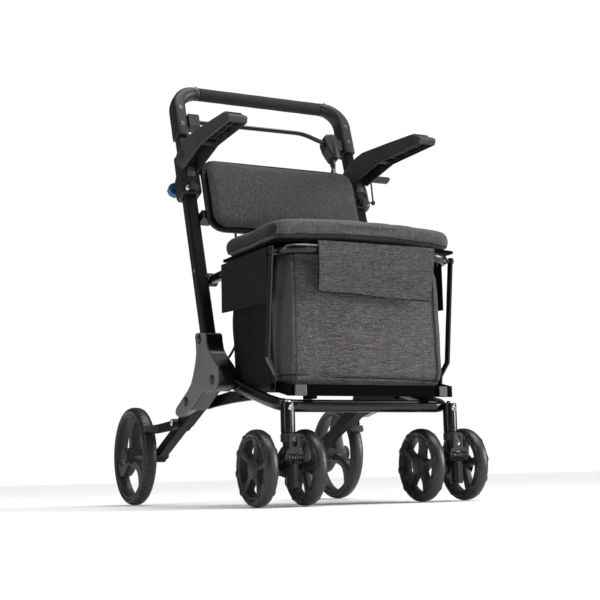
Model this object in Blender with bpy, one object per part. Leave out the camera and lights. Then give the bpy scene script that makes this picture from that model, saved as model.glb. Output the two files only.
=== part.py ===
"""Shopping walker: masts, push handle, armrests, backrest, seat, bag, front frame and wheels.

Metres, +Z up. The front of the walker faces -Y and its right-hand pieces are on +X.
The origin is on the ground, under the middle of the walker's box.
Pieces on the leaning masts are drawn in the mast's own frame: x across, d square to the mast, s along it.
"""
from math import atan, cos, hypot, pi, radians, sin, sqrt, tan

import bmesh
import bpy
from mathutils import Matrix, Vector

# Clearances
GAP = 0.0003
RUNNING_GAP = 0.0003
LOOSE_GAP = 0.0010

# Masts: rectangular tubes leaning back
MAST_SLOPE = 0.306
MAST_FOOT_Y = -0.140
MAST_X = 0.1932
MAST_WIDTH = 0.0240
MAST_DEPTH = 0.0260
MAST_WALL = 0.0020
MAST_CORNER = 0.0040
MAST_BOTTOM = 0.262
MAST_TOP = 0.700

# Sliding inner tubes
INNER_WALL = 0.0015
INNER_BOTTOM = 0.430

# Rear wheels
REAR_RADIUS = 0.100
REAR_AXLE_Y = 0.250
REAR_WHEEL_X = 0.2378
REAR_TYRE_WIDTH = 0.0274
REAR_TYRE_DEPTH = 0.0128
REAR_RIM_RADIUS = REAR_RADIUS - REAR_TYRE_DEPTH
REAR_RIM_WALL = 0.0057
REAR_RIM_WIDTH = 0.0250
REAR_HUB_RADIUS = 0.0160
REAR_HUB_INNER = 0.1985
REAR_CAP_X = 0.2625
REAR_AXLE_RADIUS = 0.0050
REAR_AXLE_END = 0.2575
REAR_FACETS = 28

# Front double casters
FRONT_RADIUS = 0.0659
FRONT_AXLE_Y = -0.2876
FRONT_TYRE_WIDTH = 0.0240
FRONT_WHEEL_OFFSET = 0.0460
FRONT_TYRE_DEPTH = 0.0132
FRONT_RIM_RADIUS = FRONT_RADIUS - FRONT_TYRE_DEPTH
FRONT_RIM_WALL = 0.0050
FRONT_HUB_RADIUS = 0.0125
FRONT_AXLE_RADIUS = 0.0040
FRONT_AXLE_END = 0.0545
FRONT_FACETS = 24
CASTER_X = 0.1645
CASTER_SWIVEL_Y = -0.317
STEM_RADIUS = 0.0060
STEM_TOP = 0.165
POST_RADIUS = 0.0125
POST_BOTTOM = 0.1240
POST_TOP = 0.1765

# Fold linkage pivots, as (y, z): a parallelogram A B D C
PIVOT_A = (-0.0075, 0.4330)
PIVOT_B = (0.0217, 0.1985)
PIVOT_C = (-0.3077, 0.4405)

# Seat rail and side bars
RAIL_RADIUS = 0.0095
RAIL_X = 0.170
RAIL_FRONT_Y = -0.335
RAIL_FRONT_Z = 0.441
RAIL_BEND = 0.045
RAIL_BOSS_RADIUS = 0.0130
RAIL_BOSS_INNER = 0.160
RAIL_PIN_RADIUS = 0.0050
CROSS_TUBE_Y = -0.085
CROSS_TUBE_Z = 0.4385
CROSS_TUBE_RADIUS = 0.0075
BAR_THICKNESS = 0.0040
BAR_WIDTH = 0.0130
BAR_X = 0.1850
BAR_FOOT_X = 0.1700
BAR_PIN_RADIUS = 0.0040
BAR_HEAD_RADIUS = 0.0065

# Lower frame
FRAME_TUBE_RADIUS = 0.0110
FRAME_X = 0.166
FRAME_FRONT_Y = -0.304
FRAME_FRONT_Z = 0.171
STRUT_INNER = 0.162
STRUT_OUTER = 0.168
STRUT_EYE_RADIUS = 0.0145
FRAME_PIN_RADIUS = 0.0062

# Tray at the front of the lower frame
TRAY_THICKNESS = 0.0040
TRAY_X = 0.1645
TRAY_Y = -0.3225
TRAY_LOW = 0.187
TRAY_HIGH = 0.207

# Side castings and cover plates
CASTING_INNER = 0.1780
CASTING_OUTER = 0.2105
PLATE_THICKNESS = 0.0035
PLATE_MARGIN = 0.0008
PLATE_CHAMFER = 0.0008
PLATE_RECESS_RADIUS = 0.0062
PLATE_RECESS_DEPTH = 0.0012

# Rear legs
LEG_INNER = 0.1705
LEG_OUTER = 0.1960
LEG_BLOCK_DEPTH = 0.0260
LEG_BLOCK_LENGTH = 0.085
LEG_COLLAR_LENGTH = 0.022
LEG_TUBE_DEPTH = 0.0190
LEG_TUBE_INSET = 0.0030
LEG_LENGTH = hypot(REAR_AXLE_Y - PIVOT_B[0], REAR_RADIUS - PIVOT_B[1])
BRAKE_PIVOT_CLEAR = 0.0501426
BRAKE_PIVOT_ALONG = LEG_LENGTH - REAR_RADIUS - BRAKE_PIVOT_CLEAR
BRAKE_STUD_RADIUS = 0.0040
BRAKE_HUB_RADIUS = 0.0105
BRAKE_HUB_END = 0.2090
BRAKE_PAD_REACH = 0.0451
BRAKE_PAD_ANGLE = radians(12.0)
BRAKE_PAD_HALF = 0.0038

# Clamps at the mast tops
CLAMP_RISE = 0.030
CLAMP_NECK_HEIGHT = 0.040
CLAMP_TAPER = 0.018
CLAMP_FOOT_HEIGHT = 0.039
CLAMP_TOP = MAST_TOP + CLAMP_RISE
CLAMP_NECK = CLAMP_TOP - CLAMP_NECK_HEIGHT
CLAMP_SHOULDER = CLAMP_NECK - CLAMP_TAPER
CLAMP_BOTTOM = CLAMP_SHOULDER - CLAMP_FOOT_HEIGHT
CLAMP_HALF_WIDE = 0.0210
CLAMP_HALF_SLIM = 0.0155
CLAMP_FRONT = -0.0220
CLAMP_NOSE = -0.0265
CLAMP_BACK = 0.0205
ARM_PIVOT_DROP = 0.014
ARM_PIVOT_S = CLAMP_TOP - ARM_PIVOT_DROP
ARM_PIVOT_D = -0.018
ARM_PIN_RADIUS = 0.0040
KNOB_DROP = 0.002
KNOB_S = CLAMP_SHOULDER - KNOB_DROP
KNOB_OFFSET = 0.0128
KNOB_X = MAST_X + KNOB_OFFSET
KNOB_RADIUS = 0.0150
KNOB_START = 0.0300
KNOB_END = 0.0450
LATCH_RISE = 0.009
LATCH_S = CLAMP_BOTTOM + LATCH_RISE
LATCH_ROD_X = MAST_X + 0.0235
LATCH_ROD_RADIUS = 0.0019
LATCH_ROD_LENGTH = 0.052
LATCH_D = -0.029
LATCH_PIN_RADIUS = 0.0020

# Armrests
ARM_HALF_WIDTH = 0.0190
ARM_WALL = 0.0030
ARM_SPLAY = 0.042
ARM_SPLAY_FROM = -0.0343
ARM_HUB_RADIUS = 0.0160

# Backrest
BACK_HALF_WIDTH = 0.1736
BACK_RISE = 0.0177
BACK_HEIGHT = 0.1611
BACK_TOP = CLAMP_NECK + BACK_RISE
BACK_BOTTOM = BACK_TOP - BACK_HEIGHT
BACK_CORNER = 0.033
BACK_SHELL_FRONT = -0.0305
BACK_SHELL_BACK = -0.0225
BACK_PAD_BORDER = 0.008
BACK_PAD_DEPTH = 0.0200
BACK_PAD_CROWN = 0.0045
TAB_RISE = 0.0384
TAB_LOW_S = BACK_BOTTOM + TAB_RISE

# Handle
GRIP_RISE = 0.1848
GRIP_S = MAST_TOP + GRIP_RISE
GRIP_RADIUS = 0.0135
GRIP_BORE = 0.0090
GRIP_HALF = 0.1417
ELBOW_HEIGHT = 0.1128
ELBOW_BOTTOM = GRIP_S - ELBOW_HEIGHT
ELBOW_HALF_WIDTH = 0.0130
ELBOW_HALF_DEPTH = 0.0180
ELBOW_BEND_INSET = 0.0065
ELBOW_BEND = MAST_X - GRIP_HALF - ELBOW_BEND_INSET
ELBOW_END_RADIUS = 0.0140
ELBOW_SPIGOT = 0.025
ELBOW_SOCKET = 0.043
INNER_TOP = ELBOW_BOTTOM + ELBOW_SOCKET

# Brake bar, its bracket and the lever housing
BAR_D = -0.012
BRAKE_BAR_RADIUS = 0.0048
BRAKE_BAR_PIVOT_X = 0.1720
BRAKE_BAR_DROP = 0.0783
BRAKE_BAR_PIVOT_S = GRIP_S - BRAKE_BAR_DROP
NOZZLE_X = 0.1475
NOZZLE_D = -0.0080
NOZZLE_DROP = 0.0775
HOUSING_FRONT = -0.0185
HOUSING_BACK = 0.0100

# Seat
SEAT_HALF_WIDTH = 0.193
SEAT_BACK_Y = -0.090
SEAT_FRONT_Y = -0.325
SEAT_LOW = 0.4573
SEAT_HIGH = 0.4930
SEAT_ARCH = 0.008
SEAT_BOW = 0.010
SEAT_CROWN = 0.0045
BOARD_HALF_WIDTH = 0.183
BOARD_BACK_Y = -0.085
BOARD_THICKNESS = 0.0055
BOARD_NOTCH_LENGTH = 0.010
BOARD_NOTCH_MARGIN = 0.004
LOOP_WALL = 0.0030

# Bag
BAG_WALL = 0.0030
BAG_LIFT = 0.008
BAG_RISE = 0.0015
BAG_COLLAR = 0.022
BAG_FOOT = 0.012
BAG_TUCK_HEIGHT = 0.035
BAG_FLOOR = TRAY_HIGH + BAG_LIFT
BAG_RIM = CROSS_TUBE_Z + BAG_RISE
BAG_NECK = BAG_RIM - BAG_COLLAR
BAG_FRONT_Y = -0.308
BAG_FRONT_HALF = 0.143

# Cables
CABLE_RADIUS = 0.0025
CABLE_REACH = 0.0007
CABLE_LEG_ALONG = 0.0757
CABLE_LEG_GAP = 0.0005
CABLE_LEG_ABOVE = LEG_BLOCK_DEPTH / 2 + CABLE_RADIUS + CABLE_LEG_GAP
CABLE_LEG_X = (LEG_INNER + LEG_OUTER) / 2
CABLE_SPACING = 0.0150
CABLE_SIDES = 6

LEAN = atan(MAST_SLOPE)
FRONT_REACH = FRONT_AXLE_Y - FRONT_RADIUS
BACK_REACH = REAR_AXLE_Y + REAR_RADIUS
CENTRE_Y = (FRONT_REACH + BACK_REACH) / 2
LOOP_BORE = CROSS_TUBE_RADIUS + RUNNING_GAP
BAG_BACK_Y = CROSS_TUBE_Y - LOOP_BORE - LOOP_WALL - GAP
LINK = (PIVOT_B[0] - PIVOT_A[0], PIVOT_B[1] - PIVOT_A[1])
PIVOT_D = (PIVOT_C[0] + LINK[0], PIVOT_C[1] + LINK[1])
SIDES = ((1, "right"), (-1, "left"))


def finish(name, color, roughness, metallic=0.0):
    """Principled material."""
    material = bpy.data.materials.new(name)
    material.use_nodes = True
    shader = material.node_tree.nodes["Principled BSDF"]
    shader.inputs["Base Color"].default_value = (*color, 1.0)
    shader.inputs["Roughness"].default_value = roughness
    shader.inputs["Metallic"].default_value = metallic
    material.diffuse_color = (*color, 1.0)
    return material


def empty(name, parent, at, base=(0.0, 0.0, 0.0), lean=0.0):
    """Named empty; at and base are in the frame that the parent's pieces are drawn in."""
    obj = bpy.data.objects.new(name, None)
    obj.empty_display_size = 0.03
    bpy.context.scene.collection.objects.link(obj)
    obj.parent = parent
    obj.location = Vector(at) - Vector(base)
    obj.rotation_euler = (lean, 0.0, 0.0)
    return obj


def part(name, shape, material, parent, pivot=(0.0, 0.0, 0.0), base=(0.0, 0.0, 0.0)):
    """Named object from a closed shape; its origin goes to pivot, and base is its parent's own place."""
    bmesh.ops.remove_doubles(shape, verts=shape.verts, dist=1e-6)
    bmesh.ops.recalc_face_normals(shape, faces=shape.faces)
    bmesh.ops.translate(shape, vec=-Vector(pivot), verts=shape.verts)
    mesh = bpy.data.meshes.new(name)
    shape.to_mesh(mesh)
    shape.free()
    mesh.materials.append(material)
    mesh.shade_smooth()
    mesh.set_sharp_from_angle(angle=radians(35))
    obj = bpy.data.objects.new(name, mesh)
    bpy.context.scene.collection.objects.link(obj)
    obj.parent = parent
    obj.location = Vector(pivot) - Vector(base)
    return obj


def loft(rings, closed=False):
    """Skin over rings of equally many points; the ends are capped, or joined when closed."""
    shape = bmesh.new()
    loops = [[shape.verts.new(point) for point in ring] for ring in rings]
    pairs = list(zip(loops, loops[1:]))
    if closed:
        pairs.append((loops[-1], loops[0]))
    for lower, upper in pairs:
        for index, corner in enumerate(lower):
            after = (index + 1) % len(lower)
            shape.faces.new((corner, lower[after], upper[after], upper[index]))
    if not closed:
        shape.faces.new(list(reversed(loops[0])))
        shape.faces.new(loops[-1])
    bmesh.ops.recalc_face_normals(shape, faces=shape.faces)
    return shape


def on_x(outline, x):
    return [(x, a, b) for a, b in outline]


def on_y(outline, y):
    return [(a, y, b) for a, b in outline]


def on_z(outline, z):
    return [(a, b, z) for a, b in outline]


def slab(outline, low, high, plane=on_x, chamfer=0.0):
    """Outline pushed along one axis, with an optional small chamfer round both ends."""
    if chamfer <= 0.0:
        return loft([plane(outline, low), plane(outline, high)])
    shape = loft([plane(outline, low), plane(outline, high)])
    ends = [face for face in shape.faces if len(face.verts) == len(outline)]
    rims = list({edge for face in ends for edge in face.edges})
    bmesh.ops.bevel(shape, geom=rims, offset=chamfer, segments=1, affect="EDGES", clamp_overlap=True)
    return shape


def box(low, high, chamfer=0.0):
    """Block between two opposite corners."""
    outline = [(low[1], low[2]), (high[1], low[2]), (high[1], high[2]), (low[1], high[2])]
    return slab(outline, low[0], high[0], chamfer=chamfer)


def circle(radius, count, centre=(0.0, 0.0), start=0.0):
    """Points round a circle whose flats keep the true radius at the corners."""
    turns = [start + 2 * pi * step / count for step in range(count)]
    return [(centre[0] + radius * cos(turn), centre[1] + radius * sin(turn)) for turn in turns]


def cylinder(radius, low, high, centre, plane=on_x, count=12):
    return slab(circle(radius, count, centre), low, high, plane)


def turned(profile, centre=(0.0, 0.0), plane=on_x, count=24, closed=False):
    """Profile of (radius, place along the axis) spun round the axis through centre."""
    rings = [plane(circle(radius, count, centre), along) for radius, along in profile]
    return loft(rings, closed)


def rolled(profile, count):
    """Ring round the x axis whose flats keep the true radius, with one flat face down on the ground."""
    turn = pi / count
    rings = [on_x(circle(radius / cos(turn), count, start=turn), along) for radius, along in profile]
    return loft(rings, closed=True)


def rounded(corners, steps=3):
    """Closed outline through corners (a, b, radius), each rounded by an arc kept within its edges."""
    outline = []
    for index, (a, b, radius) in enumerate(corners):
        here = Vector((a, b))
        if radius <= 0.0:
            outline.append((a, b))
            continue
        back = Vector(corners[index - 1][:2]) - here
        ahead = Vector(corners[(index + 1) % len(corners)][:2]) - here
        half = back.angle(ahead) / 2
        reach = min(radius / tan(half), 0.49 * back.length, 0.49 * ahead.length)
        back.normalize()
        ahead.normalize()
        centre = here + (back + ahead).normalized() * reach / cos(half)
        arm = here + back * reach - centre
        turn = (pi - 2 * half) * (1 if back.cross(ahead) < 0 else -1)
        for step in range(steps + 1):
            spoke = Matrix.Rotation(turn * step / steps, 2) @ arm
            outline.append(tuple(centre + spoke))
    return outline


def rounded_rect(half_a, half_b, radius, centre=(0.0, 0.0), steps=3):
    a, b = centre
    radius = min(radius, half_a * 0.999, half_b * 0.999)
    turns = ((1, -1), (1, 1), (-1, 1), (-1, -1))
    corners = [(a + half_a * u, b + half_b * v) for u, v in turns]
    return rounded([(*corner, radius) for corner in corners], steps)


def bent(corners, steps=5):
    """Open path through corners (x, y, z, radius) with an arc at each inner corner."""
    path = [Vector(corners[0][:3])]
    for before, corner, after in zip(corners, corners[1:], corners[2:]):
        here = Vector(corner[:3])
        back = Vector(before[:3]) - here
        ahead = Vector(after[:3]) - here
        half = back.angle(ahead) / 2
        reach = min(corner[3] / tan(half), 0.49 * back.length, 0.49 * ahead.length)
        back.normalize()
        ahead.normalize()
        centre = here + (back + ahead).normalized() * reach / cos(half)
        first = here + back * reach - centre
        axis = back.cross(ahead) * -1
        for step in range(steps + 1):
            turn = Matrix.Rotation((pi - 2 * half) * step / steps, 3, axis)
            path.append(centre + turn @ first)
    path.append(Vector(corners[-1][:3]))
    return path


def sweep(path, section, across):
    """Section (u, v) carried along a path; across is the direction that u starts in."""
    rings = []
    u = Vector(across)
    last = len(path) - 1
    for index, point in enumerate(path):
        before = (path[index] - path[index - 1]).normalized() if index else None
        after = (path[index + 1] - path[index]).normalized() if index < last else None
        tangent = ((before or after) + (after or before)).normalized()
        stretch = 1 / max(0.5, tangent.dot(after or before))
        u = (u - tangent * u.dot(tangent)).normalized()
        v = tangent.cross(u)
        bend = (after - before) if before and after else Vector()
        out = bend.normalized() if bend.length > 1e-6 else u
        ring = []
        for a, b in section:
            offset = u * a + v * b
            ring.append(point + offset + out * offset.dot(out) * (stretch - 1))
        rings.append(ring)
    return loft(rings)


def tube(corners, radius, count=12, steps=5):
    path = bent(corners, steps)
    heading = (path[1] - path[0]).normalized()
    across = Vector((0, 0, 1)) if abs(heading.z) < 0.8 else Vector((0, 1, 0))
    return sweep(path, circle(radius, count), across)


def combined(base, tool, operation):
    """Boolean of two closed shapes; both are used up."""
    objects = []
    for shape in (base, tool):
        mesh = bpy.data.meshes.new("shape")
        shape.to_mesh(mesh)
        shape.free()
        obj = bpy.data.objects.new("shape", mesh)
        bpy.context.scene.collection.objects.link(obj)
        objects.append(obj)
    modifier = objects[0].modifiers.new("combine", "BOOLEAN")
    modifier.operation = operation
    modifier.solver = "EXACT"
    modifier.object = objects[1]
    bpy.context.view_layer.update()
    graph = bpy.context.evaluated_depsgraph_get()
    result = bmesh.new()
    result.from_mesh(objects[0].evaluated_get(graph).data)
    for obj in objects:
        mesh = obj.data
        bpy.data.objects.remove(obj)
        bpy.data.meshes.remove(mesh)
    bmesh.ops.remove_doubles(result, verts=result.verts, dist=2e-6)
    return result


def join(base, *tools):
    for tool in tools:
        base = combined(base, tool, "UNION")
    return base


def cut(base, *tools):
    for tool in tools:
        base = combined(base, tool, "DIFFERENCE")
    return base


def handed(shape, side):
    """Right-hand shape as it is, or mirrored to the left."""
    if side < 0:
        bmesh.ops.scale(shape, vec=(-1.0, 1.0, 1.0), verts=shape.verts)
        bmesh.ops.recalc_face_normals(shape, faces=shape.faces)
    return shape


def mast_to_world(d, s):
    """(y, z) of a point given square to and along the mast."""
    return (MAST_FOOT_Y + s * sin(LEAN) + d * cos(LEAN), s * cos(LEAN) - d * sin(LEAN))


def world_to_mast(y, z):
    """(d, s) of a point given in the walker's frame."""
    return ((y - MAST_FOOT_Y) * cos(LEAN) - z * sin(LEAN), z * cos(LEAN) + (y - MAST_FOOT_Y) * sin(LEAN))


# Masts, inner tubes and the pieces that stand on them
def mast_bore():
    """Half sizes of the hole inside a mast."""
    return MAST_WIDTH / 2 - MAST_WALL, MAST_DEPTH / 2 - MAST_WALL


def box_tube(half_x, half_d, wall, corner, low, high):
    """Rectangular tube along s, centred on the mast axis."""
    outer = rounded_rect(half_x, half_d, corner, (MAST_X, 0.0), 2)
    inner = rounded_rect(half_x - wall, half_d - wall, corner - wall * 0.6, (MAST_X, 0.0), 2)
    rings = [on_z(outer, low), on_z(outer, high), on_z(inner, high), on_z(inner, low)]
    return loft(rings, closed=True)


def mast():
    """Mast tube with the seat rail's hinge pin on its inner wall."""
    tube_body = box_tube(MAST_WIDTH / 2, MAST_DEPTH / 2, MAST_WALL, MAST_CORNER, MAST_BOTTOM, MAST_TOP)
    pin_place = world_to_mast(*PIVOT_A)
    inner_face = MAST_X - MAST_WIDTH / 2
    pin = cylinder(RAIL_PIN_RADIUS, RAIL_BOSS_INNER - 0.002, inner_face + MAST_WALL / 2, pin_place)
    return join(tube_body, pin)


def inner_half_sizes():
    half_x, half_d = mast_bore()
    return half_x - GAP, half_d - GAP


def inner_tube():
    half_x, half_d = inner_half_sizes()
    return box_tube(half_x, half_d, INNER_WALL, MAST_CORNER - MAST_WALL, INNER_BOTTOM, INNER_TOP)


def elbow():
    """Moulded corner: a flat upright leg that turns into a round end with a spigot for the grip."""
    rings = []
    top = GRIP_S - ELBOW_BEND
    bend_x = MAST_X - ELBOW_BEND
    upright = [(ELBOW_BOTTOM, 0.0), (top - 0.020, 0.0), (top, 0.0)]
    for s, _ in upright:
        rings.append(on_z(rounded_rect(ELBOW_HALF_WIDTH, ELBOW_HALF_DEPTH, 0.006, (MAST_X, 0.0), 2), s))
    turns = 4
    for step in range(1, turns + 1):
        angle = pi / 2 * step / turns
        share = step / turns
        half_out = ELBOW_HALF_WIDTH + (ELBOW_END_RADIUS - ELBOW_HALF_WIDTH) * share
        half_d = ELBOW_HALF_DEPTH + (ELBOW_END_RADIUS - ELBOW_HALF_DEPTH) * share
        corner = 0.006 + (ELBOW_END_RADIUS - 0.006) * share
        ring = []
        for a, d in rounded_rect(half_out, half_d, corner, steps=2):
            reach = ELBOW_BEND + a
            ring.append((bend_x + reach * cos(angle), d, top + reach * sin(angle)))
        rings.append(ring)
    end = GRIP_HALF + GAP
    spigot = GRIP_BORE - GAP
    for x, radius in ((end, ELBOW_END_RADIUS), (end, spigot), (end - ELBOW_SPIGOT, spigot)):
        rings.append([(x, d, GRIP_S + a) for a, d in rounded_rect(radius, radius, radius, steps=2)])
    body = loft(rings)
    half_x, half_d = inner_half_sizes()
    socket = rounded_rect(half_x + GAP, half_d + GAP, MAST_CORNER - MAST_WALL, (MAST_X, 0.0), 2)
    return cut(body, slab(socket, ELBOW_BOTTOM - 0.01, INNER_TOP + GAP, on_z))


def grip():
    ends = ((GRIP_RADIUS, -1), (GRIP_RADIUS, 1), (GRIP_BORE, 1), (GRIP_BORE, -1))
    profile = [(radius, GRIP_HALF * end) for radius, end in ends]
    return turned(profile, (0.0, GRIP_S), count=16, closed=True)


def clamp(side):
    """Clamp round the mast top: wide foot, slim neck between the armrest cheeks, hinge pin and front lug."""
    stations = (
        (CLAMP_BOTTOM, CLAMP_HALF_WIDE - 0.003, CLAMP_FRONT + 0.003),
        (CLAMP_BOTTOM + 0.006, CLAMP_HALF_WIDE, CLAMP_FRONT),
        (CLAMP_SHOULDER, CLAMP_HALF_WIDE, CLAMP_FRONT),
        (CLAMP_NECK, CLAMP_HALF_SLIM, CLAMP_NOSE),
        (CLAMP_TOP, CLAMP_HALF_SLIM, CLAMP_NOSE),
    )
    rings = []
    for s, half_width, front in stations:
        middle = (front + CLAMP_BACK) / 2
        half_depth = (CLAMP_BACK - front) / 2
        rings.append(on_z(rounded_rect(half_width, half_depth, 0.005, (MAST_X, middle), 2), s))
    body = loft(rings)
    boss = cylinder(0.0085, MAST_DEPTH / 2 + 0.004, KNOB_START - GAP, (KNOB_X, KNOB_S), on_y, 10)
    pin_half = ARM_HALF_WIDTH + 0.0005
    arm_pivot = (ARM_PIVOT_D, ARM_PIVOT_S)
    arm_pin = cylinder(ARM_PIN_RADIUS, MAST_X - pin_half, MAST_X + pin_half, arm_pivot, count=8)
    lug = box((MAST_X - 0.005, LATCH_D - 0.005, LATCH_S - 0.007), (MAST_X + 0.009, -0.015, LATCH_S + 0.007))
    brace = loft([
        on_z(rounded_rect(0.006, 0.006, 0.001, (MAST_X, CLAMP_FRONT + 0.002), 1), LATCH_S),
        on_z(rounded_rect(0.009, 0.004, 0.001, (MAST_X, CLAMP_FRONT + 0.0015), 1), CLAMP_SHOULDER - 0.002),
    ])
    bolt_end = MAST_X + (0.0264 if side > 0 else 0.0130)
    bolt = cylinder(LATCH_PIN_RADIUS, MAST_X - 0.008, bolt_end, (LATCH_D, LATCH_S), count=8)
    nut = turned([(0.0035, MAST_X - 0.0105), (0.0055, MAST_X - 0.0085), (0.0055, MAST_X - 0.0065),
                  (0.0035, MAST_X - 0.0045)], (LATCH_D, LATCH_S), count=6)
    body = join(body, boss, arm_pin, lug, brace, bolt, nut)
    mast_hole = rounded_rect(MAST_WIDTH / 2 + GAP, MAST_DEPTH / 2 + GAP, MAST_CORNER, (MAST_X, 0.0), 2)
    half_x, half_d = mast_bore()
    slide_hole = rounded_rect(half_x, half_d, MAST_CORNER - MAST_WALL, (MAST_X, 0.0), 2)
    knob_hole = cylinder(0.0047, MAST_DEPTH / 2 + 0.0065, KNOB_START + 0.01, (KNOB_X, KNOB_S), on_y, 10)
    return cut(
        body,
        slab(mast_hole, CLAMP_BOTTOM - 0.01, MAST_TOP + GAP, on_z),
        slab(slide_hole, MAST_TOP - 0.002, CLAMP_TOP + 0.01, on_z),
        knob_hole,
    )


def height_knob():
    """Scalloped hand wheel with a short screw into the clamp's boss."""
    count = 16
    rings = []
    stem_start = MAST_DEPTH / 2 + 0.0072
    for radius, d, scallop in (
        (0.0040, stem_start, 0.0), (0.0040, KNOB_START, 0.0), (KNOB_RADIUS - 0.001, KNOB_START, 0.0),
        (KNOB_RADIUS, KNOB_START + 0.001, 0.0008), (KNOB_RADIUS, KNOB_END - 0.002, 0.0008),
        (KNOB_RADIUS - 0.002, KNOB_END, 0.0),
    ):
        ring = []
        for step in range(count):
            turn = 2 * pi * step / count
            reach = radius - scallop * (1 - cos(8 * turn))
            ring.append((KNOB_X + reach * cos(turn), d, KNOB_S + reach * sin(turn)))
        rings.append(ring)
    return loft(rings)


def backrest_shell():
    """Moulded back panel with a tab to each mast and each clamp."""
    half_height = (BACK_TOP - BACK_BOTTOM) / 2
    middle = (BACK_TOP + BACK_BOTTOM) / 2
    outline = rounded_rect(BACK_HALF_WIDTH, half_height, BACK_CORNER, (0.0, middle), 4)
    body = slab(outline, BACK_SHELL_FRONT, BACK_SHELL_BACK, on_y, 0.0015)
    mast_face = MAST_X - MAST_WIDTH / 2 - GAP
    neck_face = MAST_X - CLAMP_HALF_SLIM - GAP
    for side, _ in SIDES:
        low_tab = box((0.156, BACK_SHELL_BACK - 0.002, TAB_LOW_S - 0.009),
                      (mast_face, 0.006, TAB_LOW_S + 0.009))
        arm = box((0.156, BACK_SHELL_BACK - 0.002, CLAMP_NECK - 0.002), (0.166, 0.000, CLAMP_NECK + 0.009))
        high_tab = box((0.158, -0.011, CLAMP_NECK + 0.0005), (neck_face, -0.001, CLAMP_NECK + 0.0075))
        body = join(body, handed(low_tab, side), handed(arm, side), handed(high_tab, side))
    return body


def pad_section(half, low, high, crown, corner):
    """Closed section of a pad: flat below, rounded edges, crowned above."""
    points = []
    for step in range(9):
        points.append((-half + corner + (2 * half - 2 * corner) * step / 8, low))
    middle = (low + high) / 2
    points.append((half - corner * 0.15, low + (middle - low) * 0.45))
    points.append((half, middle))
    points.append((half - corner * 0.15, high - (high - middle) * 0.45))
    for step in range(9):
        x = (half - corner) * (1 - step / 4)
        points.append((x, high + crown * (1 - (x / half) ** 2)))
    points.append((-half + corner * 0.15, high - (high - middle) * 0.45))
    points.append((-half, middle))
    points.append((-half + corner * 0.15, low + (middle - low) * 0.45))
    return points


def backrest_pad():
    """Crowned pad in front of the shell, with the shell's corners and slightly drawn-in edges."""
    half_width = BACK_HALF_WIDTH - BACK_PAD_BORDER
    low_s = BACK_BOTTOM + BACK_PAD_BORDER
    high_s = BACK_TOP - BACK_PAD_BORDER
    corner = BACK_CORNER - BACK_PAD_BORDER / 2
    back = BACK_SHELL_FRONT - GAP
    depth = BACK_PAD_DEPTH - BACK_PAD_CROWN
    rings = []
    count = 11
    for step in range(count):
        share = 0.5 - 0.5 * cos(pi * step / (count - 1))
        s = low_s + (high_s - low_s) * share
        into = min(s - low_s, high_s - s)
        width = half_width
        if into < corner:
            width -= corner - sqrt(corner ** 2 - (corner - into) ** 2)
        width -= 0.0015 * sin(pi * share)
        fullness = min(1.0, into / 0.014)
        thick = depth * (0.35 + 0.65 * sqrt(1 - (1 - fullness) ** 2))
        crown = BACK_PAD_CROWN * sin(pi * share)
        section = pad_section(width, 0.0, thick, crown, 0.009)
        rings.append([(x, back - rise, s) for x, rise in section])
    return loft(rings)


def brake_bracket():
    """Slotted block on the left elbow that holds the brake bar's end on a pin."""
    s = BRAKE_BAR_PIVOT_S
    body = box((0.1550, -0.0200, s - 0.0160), (MAST_X - ELBOW_HALF_WIDTH - GAP, 0.0040, s + 0.0155), 0.0015)
    slot_half = BRAKE_BAR_RADIUS + 0.0010
    body = cut(body, box((0.1500, BAR_D - slot_half, s - 0.0085), (0.1772, BAR_D + slot_half, s + 0.0085)))
    pin = cylinder(0.0015, -0.0190, -0.0010, (BRAKE_BAR_PIVOT_X, s), on_y, 8)
    return join(body, pin)


def brake_bar():
    """Rod across the handle, dropping into the lever housing at its right end."""
    route = (
        (-BRAKE_BAR_PIVOT_X - 0.0030, BAR_D, BRAKE_BAR_PIVOT_S, 0.0),
        (0.0850, BAR_D, BRAKE_BAR_PIVOT_S + 0.0025, 0.090),
        (0.1300, BAR_D, BRAKE_BAR_PIVOT_S - 0.0150, 0.040),
        (0.1480, BAR_D, BRAKE_BAR_PIVOT_S - 0.0175, 0.0),
    )
    rod = tube(route, BRAKE_BAR_RADIUS, 8, 3)
    hole = cylinder(0.0015 + RUNNING_GAP, -0.03, 0.01, (-BRAKE_BAR_PIVOT_X, BRAKE_BAR_PIVOT_S), on_y, 8)
    return cut(rod, hole)


def brake_housing():
    """Lever housing on the right elbow: flat bulge, upright barrel, cable nozzle and bar slot."""
    s = BRAKE_BAR_PIVOT_S
    outline = rounded([
        (0.1180, s - 0.0120, 0.014), (0.1260, s + 0.0010, 0.006), (0.1660, s + 0.0010, 0.005),
        (0.1660, s - 0.0505, 0.006), (0.1560, s - 0.0665, 0.005), (0.1400, s - 0.0665, 0.008),
        (0.1230, s - 0.0385, 0.018),
    ])
    body = slab(outline, HOUSING_FRONT + 0.0015, HOUSING_BACK, on_y, 0.0012)
    barrel = turned([(0.0085, s - 0.0650), (0.0105, s - 0.0615), (0.0105, s - 0.0005), (0.0090, s + 0.0020)],
                    (0.1530, -0.0085), on_z, 10)
    nozzle_end = s - NOZZLE_DROP
    nozzle = turned([(0.0042, nozzle_end), (0.0055, nozzle_end + 0.0040), (0.0065, nozzle_end + 0.0170)],
                    (NOZZLE_X, NOZZLE_D), on_z, 8)
    elbow_face = MAST_X - ELBOW_HALF_WIDTH - GAP
    flange = box((0.1600, -0.0120, s - 0.0285), (elbow_face, 0.0080, s - 0.0035), 0.0010)
    slot_half = BRAKE_BAR_RADIUS + 0.0008
    slot = box((0.1100, BAR_D - slot_half, s - 0.0265), (0.1515, BAR_D + slot_half, s + 0.0235))
    return cut(join(body, barrel, nozzle, flange), slot)


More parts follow.
